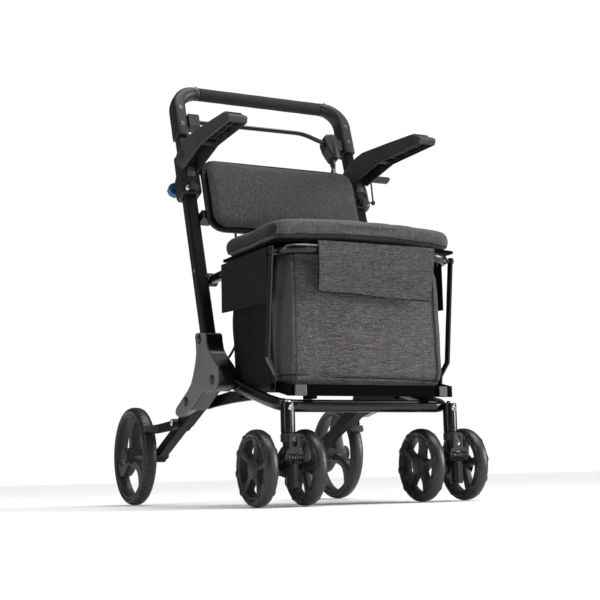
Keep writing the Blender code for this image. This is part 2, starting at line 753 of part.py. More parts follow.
# Armrests and the release lever under the right one
def armrest():
    """Hollow moulding drawn round its hinge: open below, two cheeks, ribs inside and ridges on top."""
    hub = []
    for degrees in range(-60, 91, 30):
        turn = radians(degrees)
        hub.append((ARM_HUB_RADIUS * cos(turn), ARM_HUB_RADIUS * sin(turn), 0.0))
    outline = rounded(hub + [
        (ARM_SPLAY_FROM, 0.0256, 0.012), (-0.0668, 0.0316, 0.02), (-0.1633, 0.0281, 0.0), (-0.2473, 0.0241, 0.012),
        (-0.2788, 0.0121, 0.006), (-0.2693, -0.0004, 0.004), (-0.1223, -0.0049, 0.03), (-0.0523, -0.0209, 0.03),
        (-0.0193, -0.0294, 0.005),
    ], 1)
    half = ARM_HALF_WIDTH
    inner = half - ARM_WALL
    body = slab(outline, -half, half, chamfer=0.0015)
    hollow = [
        (0.0377, -0.0899), (0.0377, 0.0901), (-0.0213, 0.0901), (-0.0213, 0.0151), (-0.0358, 0.0226),
        (-0.0668, 0.0284), (-0.1633, 0.0249), (-0.2458, 0.0211), (-0.2718, 0.0116), (-0.2663, -0.0899),
    ]
    body = cut(body, slab(hollow, -inner, inner))
    ribs = [
        box((-0.0011, -0.2698, 0.0061), (0.0011, -0.1423, 0.0251)),
        box((-inner - 0.001, -0.1843, 0.0036), (inner + 0.001, -0.1823, 0.0251)),
        box((-inner - 0.001, -0.1423, 0.0026), (inner + 0.001, -0.1403, 0.0266)),
    ]
    ridges = [
        slab(circle(0.0026, 4, (-0.2473 + 0.0140 * step, 0.0239 + 0.00067 * step)), -half + 0.003, half - 0.003)
        for step in range(6)
    ]
    body = join(body, *ribs, *ridges)
    body = cut(body, cylinder(ARM_PIN_RADIUS + RUNNING_GAP, -0.05, 0.05, (0.0, 0.0), count=12))
    diamond = [(-0.0223, -0.0109), (-0.0278, -0.0009), (-0.0223, 0.0091), (-0.0168, -0.0009)]
    body = cut(body, slab(diamond, inner - 0.002, half + 0.002))
    everything = body.verts[:] + body.edges[:] + body.faces[:]
    bmesh.ops.bisect_plane(body, geom=everything, plane_co=(0.0, ARM_SPLAY_FROM, 0.0),
                           plane_no=(0.0, 1.0, 0.0))
    for vert in body.verts:
        vert.co.x += ARM_SPLAY * max(0.0, ARM_SPLAY_FROM - vert.co.y)
    place = Vector((MAST_X, *mast_to_world(ARM_PIVOT_D, ARM_PIVOT_S)))
    bmesh.ops.translate(body, vec=place, verts=body.verts)
    return body


def latch_rod():
    """Thin rod with an eye on the clamp's lower bolt."""
    eye = cylinder(0.0050, LATCH_ROD_X - 0.0020, LATCH_ROD_X + 0.0020, (LATCH_D, LATCH_S))
    top = (LATCH_ROD_X, LATCH_D - 0.0082, LATCH_S + LATCH_ROD_LENGTH, 0.0)
    rod = tube([(LATCH_ROD_X, LATCH_D, LATCH_S + 0.002, 0.0), top], LATCH_ROD_RADIUS, 8)
    hole = cylinder(LATCH_PIN_RADIUS + RUNNING_GAP, 0.20, 0.23, (LATCH_D, LATCH_S), count=12)
    return cut(join(eye, rod), hole)


def paddle_lever():
    """Flat finger lever on top of the latch rod."""
    inner = LATCH_ROD_X - 0.0023
    low = LATCH_S + LATCH_ROD_LENGTH - 0.0050
    outline = rounded([
        (inner, low, 0.001), (inner, low + 0.0120, 0.001), (inner + 0.0466, low + 0.0120, 0.002),
        (inner + 0.0476, low + 0.0070, 0.001), (inner + 0.0426, low, 0.002),
    ], 2)
    body = slab(outline, -0.0440, -0.0330, on_y, 0.0008)
    hole_low = (LATCH_ROD_X, LATCH_D - 0.0069, low - 0.0040, 0.0)
    hole_high = (LATCH_ROD_X, LATCH_D - 0.0083, low + 0.0055, 0.0)
    rod_hole = tube([hole_low, hole_high], LATCH_ROD_RADIUS + GAP, 8)
    return cut(body, rod_hole)


# Side castings, cover plates and rear legs
def casting_outline(margin):
    """Curved three-armed outline: mast arm up, latch lobe to the front, leg arm to the rear."""
    m = margin
    return rounded([
        (-0.0235 - m, 0.3265 - m, 0.006), (-0.0750 + m, 0.3215 - m, 0.008), (-0.0800 + m, 0.2890, 0.050),
        (-0.1330 + m, 0.2520 - m, 0.012), (-0.1345 + m, 0.2170 + m, 0.014), (-0.1050, 0.2090 + m, 0.012),
        (-0.0650, 0.2145 + m, 0.040), (0.0060, 0.1810 + m, 0.030), (0.0650 - m, 0.1700 + m, 0.006),
        (0.0800 - m, 0.1775, 0.005), (0.0785 - m, 0.1890 - m, 0.006), (-0.0050 - m, 0.2300 - m, 0.060),
        (-0.0345 - m, 0.2860, 0.060),
    ], 2)


def leg_point(along, across):
    """(y, z) of a point along and square to the leg, measured from pivot B."""
    run = REAR_AXLE_Y - PIVOT_B[0]
    drop = REAR_RADIUS - PIVOT_B[1]
    length = hypot(run, drop)
    along_y, along_z = run / length, drop / length
    return (PIVOT_B[0] + along * along_y - across * along_z, PIVOT_B[1] + along * along_z + across * along_y)


def leg_block(start, end, half_depth, low_x, high_x, chamfer=0.0):
    corners = [(start, -half_depth), (end, -half_depth), (end, half_depth), (start, half_depth)]
    return slab([leg_point(*corner) for corner in corners], low_x, high_x, chamfer=chamfer)


def side_casting():
    """Cast core: socket for the mast, and a thin lobe beside the rear leg."""
    body = slab(casting_outline(0.0), CASTING_INNER, CASTING_OUTER)
    front = leg_point(-LEG_BLOCK_DEPTH / 2 - GAP - 0.002, 0.0)[0]
    top = leg_point(0.0, LEG_BLOCK_DEPTH / 2 + GAP + 0.002)[1]
    leg_room = [(front, 0.15), (front, top), (front + 0.03, top + 0.004), (0.12, top + 0.004), (0.12, 0.15)]
    body = cut(body, slab(leg_room, CASTING_INNER - 0.01, LEG_OUTER + GAP))
    socket = rounded_rect(MAST_WIDTH / 2 + GAP, MAST_DEPTH / 2 + GAP, MAST_CORNER, (MAST_X, 0.0), 2)
    mast_room = slab(socket, MAST_BOTTOM - GAP, MAST_TOP, on_z)
    lean = Matrix.Translation((0.0, MAST_FOOT_Y, 0.0)) @ Matrix.Rotation(-LEAN, 4, "X")
    bmesh.ops.transform(mast_room, matrix=lean, verts=mast_room.verts)
    return cut(body, mast_room)


def side_plate():
    """Thin cover plate on the outside of the casting, with a recess round each of its three bolts."""
    start = CASTING_OUTER + GAP
    outside = start + PLATE_THICKNESS
    body = loft([
        on_x(casting_outline(PLATE_MARGIN), start),
        on_x(casting_outline(PLATE_MARGIN), outside - PLATE_CHAMFER),
        on_x(casting_outline(PLATE_MARGIN + PLATE_CHAMFER), outside),
    ])
    for place in ((-0.0479, 0.3105), (-0.1100, 0.2305), (PIVOT_B[0], PIVOT_B[1])):
        recess = cylinder(PLATE_RECESS_RADIUS, outside - PLATE_RECESS_DEPTH, outside + 0.01, place, count=8)
        body = cut(body, recess)
    return body


def rear_leg():
    """Leg block, collar and narrower tube, with the frame pin, brake stud, axle and nut."""
    half = LEG_BLOCK_DEPTH / 2
    block_end = LEG_BLOCK_LENGTH
    collar_end = block_end + LEG_COLLAR_LENGTH
    body = leg_block(0.0, block_end, half, LEG_INNER, LEG_OUTER, 0.0012)
    nose = cylinder(half - 0.0002, LEG_INNER + 0.0012, LEG_OUTER - 0.0012, PIVOT_B, count=12)
    collar = leg_block(block_end - 0.001, collar_end, half - 0.0015, LEG_INNER + 0.001, LEG_OUTER - 0.001)
    lower = leg_block(collar_end - 0.001, LEG_LENGTH + 0.004, LEG_TUBE_DEPTH / 2, LEG_INNER + LEG_TUBE_INSET,
                      LEG_OUTER - LEG_TUBE_INSET)
    boss = cylinder(0.0135, LEG_INNER + 0.002, LEG_OUTER + 0.0005, (REAR_AXLE_Y, REAR_RADIUS), count=12)
    axle = cylinder(REAR_AXLE_RADIUS, LEG_INNER - 0.006, REAR_AXLE_END, (REAR_AXLE_Y, REAR_RADIUS), count=10)
    nut = cylinder(0.0080, LEG_INNER - 0.004, LEG_INNER + 0.003, (REAR_AXLE_Y, REAR_RADIUS), count=6)
    pin = cylinder(FRAME_PIN_RADIUS, STRUT_INNER - 0.002, LEG_INNER + 0.003, PIVOT_B, count=8)
    washer = cylinder(0.0095, STRUT_INNER - GAP - 0.0030, STRUT_INNER - GAP, PIVOT_B, count=8)
    stud_place = leg_point(BRAKE_PIVOT_ALONG, 0.0)
    stud = cylinder(BRAKE_STUD_RADIUS, LEG_OUTER - 0.004, 0.2110, stud_place)
    stud_head = cylinder(0.0072, 0.2093, 0.2125, stud_place, count=8)
    return join(body, nose, collar, lower, boss, axle, nut, pin, washer, stud, stud_head)


def brake_arm():
    """Arm on the leg's stud that carries a flat pad across the front of the tyre, square to the wheel."""
    hub_y, hub_z = leg_point(BRAKE_PIVOT_ALONG, 0.0)
    hub = cylinder(BRAKE_HUB_RADIUS, LEG_OUTER + GAP, BRAKE_HUB_END, (hub_y, hub_z), count=12)
    pivot = Vector((hub_y, hub_z))
    axle = Vector((REAR_AXLE_Y, REAR_RADIUS))
    aim = (axle - pivot).normalized()
    pad = pivot + Matrix.Rotation(BRAKE_PAD_ANGLE, 2) @ aim * BRAKE_PAD_REACH
    toward = (axle - pad).normalized()
    upward = Vector((-toward.y, toward.x))
    inner_x = REAR_WHEEL_X - REAR_TYRE_WIDTH / 2
    outer_x = REAR_WHEEL_X + REAR_TYRE_WIDTH / 2
    stations = (
        (LEG_OUTER + 0.0050, pivot.lerp(pad, 0.20), 0.0095),
        (inner_x, pivot.lerp(pad, 0.90), 0.0085),
        (REAR_WHEEL_X, pad, 0.0075),
        (outer_x, pad, 0.0060),
    )
    rings = []
    for x, centre, half_height in stations:
        ring = []
        for a, b in ((-1, -1), (1, -1), (1, 1), (-1, 1)):
            place = centre + toward * BRAKE_PAD_HALF * a + upward * half_height * b
            ring.append((x, place.x, place.y))
        rings.append(ring)
    hole = cylinder(BRAKE_STUD_RADIUS + RUNNING_GAP, 0.19, 0.22, (hub_y, hub_z))
    return cut(join(hub, loft(rings)), hole)


# Wheels, drawn round their own centre with the axle along x
def tyre(radius, inner, width, count):
    """Tyre section spun round the axle: widest near the rim, narrower at the tread."""
    half = width / 2
    section = ((inner, 0.80), (inner + (radius - inner) * 0.50, 1.0), (radius, 0.45))
    profile = [(reach, -half * share) for reach, share in section]
    profile += [(reach, half * share) for reach, share in reversed(section)]
    return rolled(profile, count)


def ring_band(radius, wall, width, count):
    """Rim band under the tyre."""
    ends = ((radius, -1), (radius, 1), (radius - wall, 1), (radius - wall, -1))
    profile = [(reach, width / 2 * end) for reach, end in ends]
    return rolled(profile, count)


def spun(shape, index, total):
    bmesh.ops.rotate(shape, matrix=Matrix.Rotation(2 * pi * index / total, 3, "X"), verts=shape.verts)
    return shape


def rear_rim():
    """Rim band, hub with a domed cap outside and a blind bore, and three curved spokes."""
    centre = REAR_WHEEL_X
    band = ring_band(REAR_RIM_RADIUS, REAR_RIM_WALL, REAR_RIM_WIDTH, REAR_FACETS)
    cap = REAR_CAP_X - centre
    inner = REAR_HUB_INNER - centre
    bore = REAR_AXLE_RADIUS + RUNNING_GAP
    hub = turned([
        (bore, REAR_AXLE_END + 0.0010 - centre), (bore, inner), (0.0130, inner), (REAR_HUB_RADIUS, inner + 0.012),
        (REAR_HUB_RADIUS, cap - 0.004), (REAR_HUB_RADIUS - 0.0045, cap),
    ], count=10)
    body = join(band, hub)
    for index in range(3):
        rings = []
        for step in range(4):
            share = step / 3
            reach = 0.0125 + (REAR_RIM_RADIUS - 0.0030 - 0.0125) * share
            swing = 0.30 * sin(pi * share)
            half_width = 0.0085 + 0.0025 * share
            half_thick = 0.0035
            along = 0.0050 - 0.0020 * share
            heading = Vector((0.0, cos(swing), sin(swing)))
            across = Vector((0.0, -sin(swing), cos(swing)))
            ring = []
            for a, b in ((-1, -1), (1, -1), (1, 1), (-1, 1)):
                rise = Vector((along + half_thick * b, 0.0, 0.0))
                ring.append(heading * reach + across * half_width * a + rise)
            rings.append(ring)
        body = join(body, spun(loft(rings), index, 3))
    return body


def front_hub():
    """Rim band, five thick spokes and a hub with a blind bore from the caster's side."""
    band = ring_band(FRONT_RIM_RADIUS, FRONT_RIM_WALL, 0.0190, FRONT_FACETS)
    bore = FRONT_AXLE_RADIUS + RUNNING_GAP
    depth = FRONT_AXLE_END - FRONT_WHEEL_OFFSET + 0.0010
    hub = turned([
        (bore, depth), (bore, -0.0120), (FRONT_HUB_RADIUS, -0.0120), (FRONT_HUB_RADIUS, 0.0105),
        (FRONT_HUB_RADIUS - 0.0045, 0.0130),
    ], count=10)
    body = join(band, hub)
    for index in range(5):
        rings = []
        for reach, half in ((0.0090, 0.0048), (0.0300, 0.0040), (FRONT_RIM_RADIUS - 0.0030, 0.0056)):
            rings.append([(x + 0.001, across, reach) for x, across in rounded_rect(half * 1.2, half, 0.0, steps=1)])
        body = join(body, spun(loft(rings), index, 5))
    return body


# Casters, drawn round the swivel axis
TRAIL = FRONT_AXLE_Y - CASTER_SWIVEL_Y
LOCK_PIN_Y = -0.0215
LOCK_PIN_Z = 0.0824
LOCK_PIN_RADIUS = 0.0021
LOCK_KNUCKLE_INNER = 0.0137
LOCK_KNUCKLE_OUTER = 0.0165
SPRING_RADIUS = 0.0037
SPRING_WIRE = 0.0007
SPRING_TURNS = 5


def caster_fork():
    """Collar and stem, sleeve, trailing arm with the axle, lower block and the lock's pin in two lugs."""
    collar_top = POST_BOTTOM - GAP
    body = turned([(0.0098, 0.0535), (0.0098, 0.1065), (0.0105, 0.1075), (0.0105, collar_top - 0.0030),
                   (0.0125, collar_top - 0.0025), (0.0125, collar_top), (STEM_RADIUS, collar_top),
                   (STEM_RADIUS, STEM_TOP)], (0.0, 0.0), on_z, 10)
    arm_outline = rounded([
        (-0.004, 0.1030, 0.004), (0.0100, 0.1010, 0.010), (TRAIL + 0.0120, 0.0790, 0.010),
        (TRAIL + 0.0130, 0.0560, 0.010), (0.0020, 0.0490, 0.006), (-0.0080, 0.0560, 0.004),
    ], 1)
    arm = slab(arm_outline, -0.0080, 0.0080)
    block = turned([(0.0095, 0.0320), (0.0112, 0.0335), (0.0112, 0.0690), (0.0100, 0.0710)], (0.0, -0.0140),
                   on_z, 10)
    axle = turned([(FRONT_AXLE_RADIUS, -FRONT_AXLE_END), (FRONT_AXLE_RADIUS, -0.0330), (0.0065, -0.0330),
                   (0.0065, 0.0330), (FRONT_AXLE_RADIUS, 0.0330), (FRONT_AXLE_RADIUS, FRONT_AXLE_END)],
                  (TRAIL, FRONT_RADIUS), count=8)
    lug_inner = LOCK_KNUCKLE_OUTER + GAP
    yoke = box((-lug_inner - 0.0025, -0.0110, 0.0770), (lug_inner + 0.0025, -0.0040, 0.0880))
    lugs = [
        box((low, LOCK_PIN_Y - 0.0040, 0.0775), (low + 0.0025, -0.0050, 0.0875))
        for low in (-lug_inner - 0.0025, lug_inner)
    ]
    pin_half = lug_inner + 0.0015
    pin = cylinder(LOCK_PIN_RADIUS, -pin_half, pin_half, (LOCK_PIN_Y, LOCK_PIN_Z), count=8)
    return join(body, arm, block, axle, yoke, *lugs, pin)


def swivel_lock():
    """Windowed flap in front of the collar, on two knuckles round the lock pin."""
    back = LOCK_PIN_Y + 0.0008
    front = LOCK_PIN_Y - 0.0022
    plate = slab(rounded([
        (0.0160, 0.0885, 0.001), (0.0160, 0.0935, 0.002), (0.0100, 0.0960, 0.002), (0.0095, 0.1220, 0.002),
        (-0.0095, 0.1220, 0.002), (-0.0100, 0.0960, 0.002), (-0.0160, 0.0935, 0.002), (-0.0160, 0.0885, 0.001),
    ], 1), front, back, on_y)
    window = slab(rounded_rect(0.0052, 0.0085, 0.0015, (0.0, 0.1085), 1), front - 0.01, back + 0.01, on_y)
    body = cut(plate, window)
    for side, _ in SIDES:
        knuckle = cylinder(0.0042, LOCK_KNUCKLE_INNER, LOCK_KNUCKLE_OUTER, (LOCK_PIN_Y, LOCK_PIN_Z), count=8)
        web = box((LOCK_KNUCKLE_INNER, front, LOCK_PIN_Z), (LOCK_KNUCKLE_OUTER - 0.0004, back, 0.0900))
        body = join(body, handed(knuckle, side), handed(web, side))
    hole = cylinder(LOCK_PIN_RADIUS + RUNNING_GAP, -0.03, 0.03, (LOCK_PIN_Y, LOCK_PIN_Z), count=8)
    return cut(body, hole)


def coil_points():
    """Centre line of the torsion spring round the lock pin."""
    per_turn = 8
    half = LOCK_KNUCKLE_INNER - SPRING_WIRE - 0.0006
    count = per_turn * SPRING_TURNS
    points = []
    for step in range(count + 1):
        turn = 2 * pi * step / per_turn
        x = -half + 2 * half * step / count
        y = LOCK_PIN_Y + SPRING_RADIUS * cos(turn)
        points.append(Vector((x, y, LOCK_PIN_Z + SPRING_RADIUS * sin(turn))))
    return points


def report_coil_gap(points):
    """Print the least gap between one turn of the spring and the next."""
    least = min(
        (first - second).length
        for index, first in enumerate(points)
        for second in points[index + 6:]
    )
    print(f"least gap of the torsion spring to itself: {(least - 2 * SPRING_WIRE) * 1000:.2f} mm")


def caster_spring():
    return sweep(coil_points(), circle(SPRING_WIRE, 6), (1.0, 0.0, 0.0))


# Seat rail, board, cushion and side bars
def seat_rail():
    """Bent rail with hinge bosses at its rear ends, a cross tube and a headed pin for each side bar."""
    rear_y, rear_z = PIVOT_A
    bend = RAIL_BEND
    rail = tube([
        (-RAIL_X, rear_y - 0.004, rear_z, 0.0), (-RAIL_X, RAIL_FRONT_Y, RAIL_FRONT_Z, bend),
        (RAIL_X, RAIL_FRONT_Y, RAIL_FRONT_Z, bend), (RAIL_X, rear_y - 0.004, rear_z, 0.0),
    ], RAIL_RADIUS, 8, 4)
    boss_outer = MAST_X - MAST_WIDTH / 2 - GAP
    cross = cylinder(CROSS_TUBE_RADIUS, -RAIL_X, RAIL_X, (CROSS_TUBE_Y, CROSS_TUBE_Z), count=8)
    body = join(rail, cross)
    bar_outer = BAR_X + BAR_THICKNESS / 2
    for side, _ in SIDES:
        boss = cylinder(RAIL_BOSS_RADIUS, RAIL_BOSS_INNER, boss_outer, PIVOT_A, count=12)
        pin = cylinder(BAR_PIN_RADIUS, RAIL_X, bar_outer + 0.002, PIVOT_C, count=8)
        head = cylinder(BAR_HEAD_RADIUS, bar_outer + GAP, bar_outer + 0.0025, PIVOT_C, count=8)
        body = join(body, handed(boss, side), handed(pin, side), handed(head, side))
    hole = cylinder(RAIL_PIN_RADIUS + RUNNING_GAP, RAIL_BOSS_INNER - 0.01, boss_outer + 0.01, PIVOT_A)
    body = cut(body, hole)
    left_hole = cylinder(RAIL_PIN_RADIUS + RUNNING_GAP, -boss_outer - 0.01, -RAIL_BOSS_INNER + 0.01, PIVOT_A)
    return cut(body, left_hole)


def side_bar():
    """Flat bar from the rail to the tray, stepped inward at its foot, with a hole at each end."""
    reach = BAR_WIDTH / 2
    top = Vector((BAR_X, *PIVOT_C))
    foot = Vector((BAR_FOOT_X, *PIVOT_D))
    down = (Vector((0.0, *PIVOT_D)) - Vector((0.0, *PIVOT_C)))
    length = down.length
    down.normalize()
    step_start = top + down * (length - 0.050)
    step_end = foot - down * 0.020
    path = [top - down * reach, step_start, step_end, foot + down * reach]
    section = rounded_rect(BAR_THICKNESS / 2, BAR_WIDTH / 2, 0.0008, steps=1)
    body = sweep(path, section, (1.0, 0.0, 0.0))
    upper_hole = cylinder(BAR_PIN_RADIUS + RUNNING_GAP, BAR_X - 0.01, BAR_X + 0.01, PIVOT_C, count=12)
    lower_radius = BAR_PIN_RADIUS - 0.0005 + LOOSE_GAP
    lower_hole = cylinder(lower_radius, BAR_FOOT_X - 0.01, BAR_FOOT_X + 0.01, PIVOT_D, count=8)
    return cut(body, upper_hole, lower_hole)


def arch(x):
    """Rise of the seat at a distance from its middle."""
    return SEAT_ARCH * (1 - (x / SEAT_HALF_WIDTH) ** 2)


def seat_board():
    """Arched board with two loops that turn on the rail's cross tube."""
    low = SEAT_LOW - GAP - BOARD_THICKNESS
    count = 8
    xs = [-BOARD_HALF_WIDTH + 2 * BOARD_HALF_WIDTH * step / count for step in range(count + 1)]
    outline = [(x, low + arch(x)) for x in xs] + [(x, low + BOARD_THICKNESS + arch(x)) for x in reversed(xs)]
    body = slab(outline, BOARD_BACK_Y, SEAT_FRONT_Y + 0.004, on_y)
    centre = (CROSS_TUBE_Y, CROSS_TUBE_Z)
    for x in (-0.110, 0.090):
        ring = cylinder(LOOP_BORE + LOOP_WALL, x, x + 0.020, centre, count=14)
        riser_top = low + arch(x) + BOARD_THICKNESS / 2
        riser = box((x, CROSS_TUBE_Y - 0.0080, CROSS_TUBE_Z + 0.002),
                    (x + 0.020, CROSS_TUBE_Y - 0.0010, riser_top))
        body = join(body, ring, riser)
    notch_x = RAIL_X - RAIL_RADIUS - BOARD_NOTCH_MARGIN
    notch_y = BOARD_BACK_Y - BOARD_NOTCH_LENGTH
    for side, _ in SIDES:
        notch = box((notch_x, notch_y, low - 0.01), (BOARD_HALF_WIDTH + 0.01, BOARD_BACK_Y + 0.01, SEAT_HIGH))
        body = cut(body, handed(notch, side))
    return cut(body, cylinder(LOOP_BORE, -0.15, 0.15, centre, count=14))


def seat_cushion():
    """Cushion over the board: crowned, arched with it, bowed to the front and drawn in at the sides."""
    rings = []
    count = 11
    length = SEAT_BACK_Y - SEAT_FRONT_Y
    depth = SEAT_HIGH - SEAT_LOW
    for step in range(count):
        share = 0.5 - 0.5 * cos(pi * step / (count - 1))
        y = SEAT_BACK_Y - length * share
        into = min(share, 1 - share) * length
        corner = 0.030
        half = SEAT_HALF_WIDTH - 0.0020 * sin(pi * share)
        if into < corner:
            half -= corner - sqrt(corner ** 2 - (corner - into) ** 2)
        fullness = min(1.0, into / 0.012)
        swell = 0.45 + 0.55 * sqrt(1 - (1 - fullness) ** 2)
        middle = (SEAT_LOW + SEAT_HIGH) / 2
        low = middle - depth / 2 * swell if into < 0.012 else SEAT_LOW
        high = middle + depth / 2 * swell
        section = pad_section(half, low, high, SEAT_CROWN * sin(pi * share), 0.010)
        ring = []
        for x, z in section:
            bow = SEAT_BOW * share * (1 - (x / SEAT_HALF_WIDTH) ** 2)
            ring.append((x, y - bow, z + arch(x)))
        rings.append(ring)
    return loft(rings)


# Bag and flaps
def bag_ring(z, inset):
    """Outline of the bag at a height: narrower in front, full at the middle of its height."""
    swell = 0.008 * sin(pi * min(1.0, max(0.0, (z - BAG_FLOOR) / (BAG_NECK - BAG_FLOOR))))
    tuck = 0.014 * max(0.0, 1 - (z - BAG_FLOOR) / BAG_TUCK_HEIGHT)
    front_half = BAG_FRONT_HALF - tuck * 0.4 - inset
    back_half = RAIL_X - RAIL_RADIUS - GAP + swell * 0.5 - tuck - inset
    front = BAG_FRONT_Y + tuck * 0.3 + inset
    back = BAG_BACK_Y - inset
    corners = [(front_half, front), (back_half, back), (-back_half, back), (-front_half, front)]
    outline = rounded([(*corner, max(0.004, 0.012 - inset)) for corner in corners], 3)
    return on_z(outline, z)


def bag():
    """Open-topped cloth bag with a real wall and floor."""
    rise = BAG_NECK - BAG_FLOOR
    heights = (BAG_FLOOR, BAG_FLOOR + BAG_FOOT, BAG_FLOOR + rise * 0.20, BAG_FLOOR + rise * 0.42,
               BAG_FLOOR + rise * 0.67, BAG_NECK, BAG_RIM)
    outside = [bag_ring(z, 0.0) for z in heights]
    outside[0] = bag_ring(BAG_FLOOR, 0.004)
    inside = [bag_ring(max(z, BAG_FLOOR + BAG_WALL), BAG_WALL) for z in reversed(heights[1:])]
    inside.append(bag_ring(BAG_FLOOR + BAG_WALL, BAG_WALL + 0.003))
    return loft(outside + inside)


def flap_front():
    """Front flap of cloth, hanging over the rail's front tube."""
    front = RAIL_FRONT_Y - RAIL_RADIUS
    outline = rounded([(0.118, 0.4550, 0.003), (0.112, 0.3620, 0.004), (-0.112, 0.3620, 0.004),
                       (-0.118, 0.4550, 0.003)], 2)
    return slab(outline, front - 0.0035, front - 0.0007, on_y)


def flap_side():
    """Side flap of cloth beside the rail."""
    inner = RAIL_X + RAIL_RADIUS + GAP
    outer = BAR_X - BAR_THICKNESS / 2 - GAP
    return box((inner, -0.283, 0.3550), (outer, -0.083, 0.4500))


# Lower frame and tray
def lower_frame():
    """Bent tube with a strut to each fold pivot, a hanging tab and a caster post at each corner."""
    corners = [
        (FRAME_X, -0.0500, 0.2400, 0.0), (FRAME_X, -0.1400, 0.2110, 0.150), (FRAME_X, -0.2450, 0.1840, 0.150),
        (FRAME_X, FRAME_FRONT_Y, FRAME_FRONT_Z, 0.040),
    ]
    mirrored = [(-x, y, z, radius) for x, y, z, radius in reversed(corners)]
    body = tube(corners + mirrored, FRAME_TUBE_RADIUS, 8, 3)
    eye = circle(STRUT_EYE_RADIUS, 12, PIVOT_B)
    eye_points = [(y, z, 0.0) for y, z in eye if y > PIVOT_B[0] - 0.004]
    eye_points.sort(key=lambda point: -point[1])
    strut = rounded(eye_points + [
        (-0.0100, 0.1862, 0.0), (-0.0870, 0.1885, 0.0), (-0.1720, 0.1885, 0.004), (-0.1850, 0.1960, 0.0),
        (-0.1500, 0.2060, 0.0), (-0.0860, 0.2115, 0.006), (-0.0260, 0.2080, 0.006),
    ], 1)
    for side, _ in SIDES:
        brace = slab(strut, STRUT_INNER, STRUT_OUTER)
        tab = box((STRUT_INNER, -0.1480, 0.1950), (STRUT_OUTER, -0.1300, 0.2150))
        post = cylinder(POST_RADIUS, POST_BOTTOM, POST_TOP, (CASTER_X, CASTER_SWIVEL_Y), on_z, 12)
        body = join(body, handed(brace, side), handed(tab, side), handed(post, side))
        hole = cylinder(FRAME_PIN_RADIUS + RUNNING_GAP, STRUT_INNER - 0.01, STRUT_OUTER + 0.0015, PIVOT_B)
        bore = cylinder(STEM_RADIUS + RUNNING_GAP, POST_BOTTOM - 0.01, STEM_TOP + 0.002, (CASTER_X, CASTER_SWIVEL_Y),
                        on_z)
        body = cut(body, handed(hole, side), handed(bore, side))
    return body


def tray():
    """Front bar that carries the bag's foot, two feet on the frame tube and the side bars' lower pins."""
    bar = box((-TRAY_X - TRAY_THICKNESS / 2, TRAY_Y - TRAY_THICKNESS / 2, TRAY_LOW),
              (TRAY_X + TRAY_THICKNESS / 2, TRAY_Y + TRAY_THICKNESS / 2, TRAY_HIGH))
    ear = rounded([
        (TRAY_Y, TRAY_LOW, 0.001), (TRAY_Y, TRAY_HIGH, 0.004), (-0.2900, 0.2140, 0.006), (-0.2700, 0.2150, 0.007),
        (-0.2690, 0.1985, 0.007), (-0.3000, 0.1920, 0.01),
    ], 1)
    body = bar
    foot_low = FRAME_FRONT_Z + FRAME_TUBE_RADIUS + GAP
    for side, _ in SIDES:
        plate = slab(ear, TRAY_X - TRAY_THICKNESS / 2, TRAY_X + TRAY_THICKNESS / 2)
        foot = box((0.1100, TRAY_Y, foot_low), (0.1260, FRAME_FRONT_Y + 0.004, foot_low + 0.0100))
        pin_end = BAR_FOOT_X + BAR_THICKNESS / 2 + 0.0030
        pin = cylinder(BAR_PIN_RADIUS - 0.0005, TRAY_X, pin_end, PIVOT_D, count=8)
        head = cylinder(BAR_HEAD_RADIUS, pin_end - 0.0022, pin_end, PIVOT_D, count=8)
        body = join(body, handed(plate, side), handed(foot, side), handed(pin, side), handed(head, side))
    return body


# Brake cables, as smooth curves through a route chosen by hand
RIGHT_ROUTE = (
    (0.1500, 0.0658, 0.6991), (0.1495, 0.0570, 0.6720), (0.1500, 0.0420, 0.6250), (0.1510, 0.0300, 0.5700),
    (0.1500, 0.0230, 0.5100), (0.1490, 0.0200, 0.4500), (0.1500, 0.0220, 0.3900), (0.1540, 0.0280, 0.3300),
    (0.1620, 0.0360, 0.2750), (0.1720, 0.0470, 0.2350), (0.1800, 0.0640, 0.2085), (0.1830, 0.0900, 0.1900),
    (0.1832, 0.0975, 0.1832),
)
LEFT_ROUTE = (
    (0.1445, 0.0657, 0.6987), (0.1370, 0.0580, 0.6750), (0.1150, 0.0480, 0.6400), (0.0700, 0.0430, 0.6150),
    (0.0100, 0.0400, 0.6000), (-0.0500, 0.0380, 0.5850), (-0.0900, 0.0360, 0.5600), (-0.0990, 0.0330, 0.5350),
    (-0.0900, 0.0290, 0.5000), (-0.0830, 0.0260, 0.4500), (-0.0840, 0.0250, 0.4000), (-0.0920, 0.0260, 0.3500),
    (-0.1080, 0.0290, 0.3050), (-0.1280, 0.0330, 0.2750), (-0.1520, 0.0400, 0.2500), (-0.1710, 0.0500, 0.2290),
    (-0.1800, 0.0670, 0.2080), (-0.1830, 0.0900, 0.1900), (-0.1832, 0.0975, 0.1832),
)


def fitted(route, side):
    """Route with its ends kept at the lever housing's nozzle and at the top of the leg."""
    nozzle = mast_to_world(NOZZLE_D, BRAKE_BAR_PIVOT_S - NOZZLE_DROP - CABLE_REACH)
    leg_y, leg_z = leg_point(CABLE_LEG_ALONG, CABLE_LEG_ABOVE)
    top, low = Vector(route[0]), Vector(route[-1])
    top_move = Vector((0.0, nozzle[0] - top.y, nozzle[1] - top.z))
    low_move = Vector((side * CABLE_LEG_X - low.x, leg_y - low.y, leg_z - low.z))
    points = []
    for point in route:
        share = (point[2] - low.z) / (top.z - low.z)
        points.append(Vector(point) + top_move * share + low_move * (1 - share))
    return points


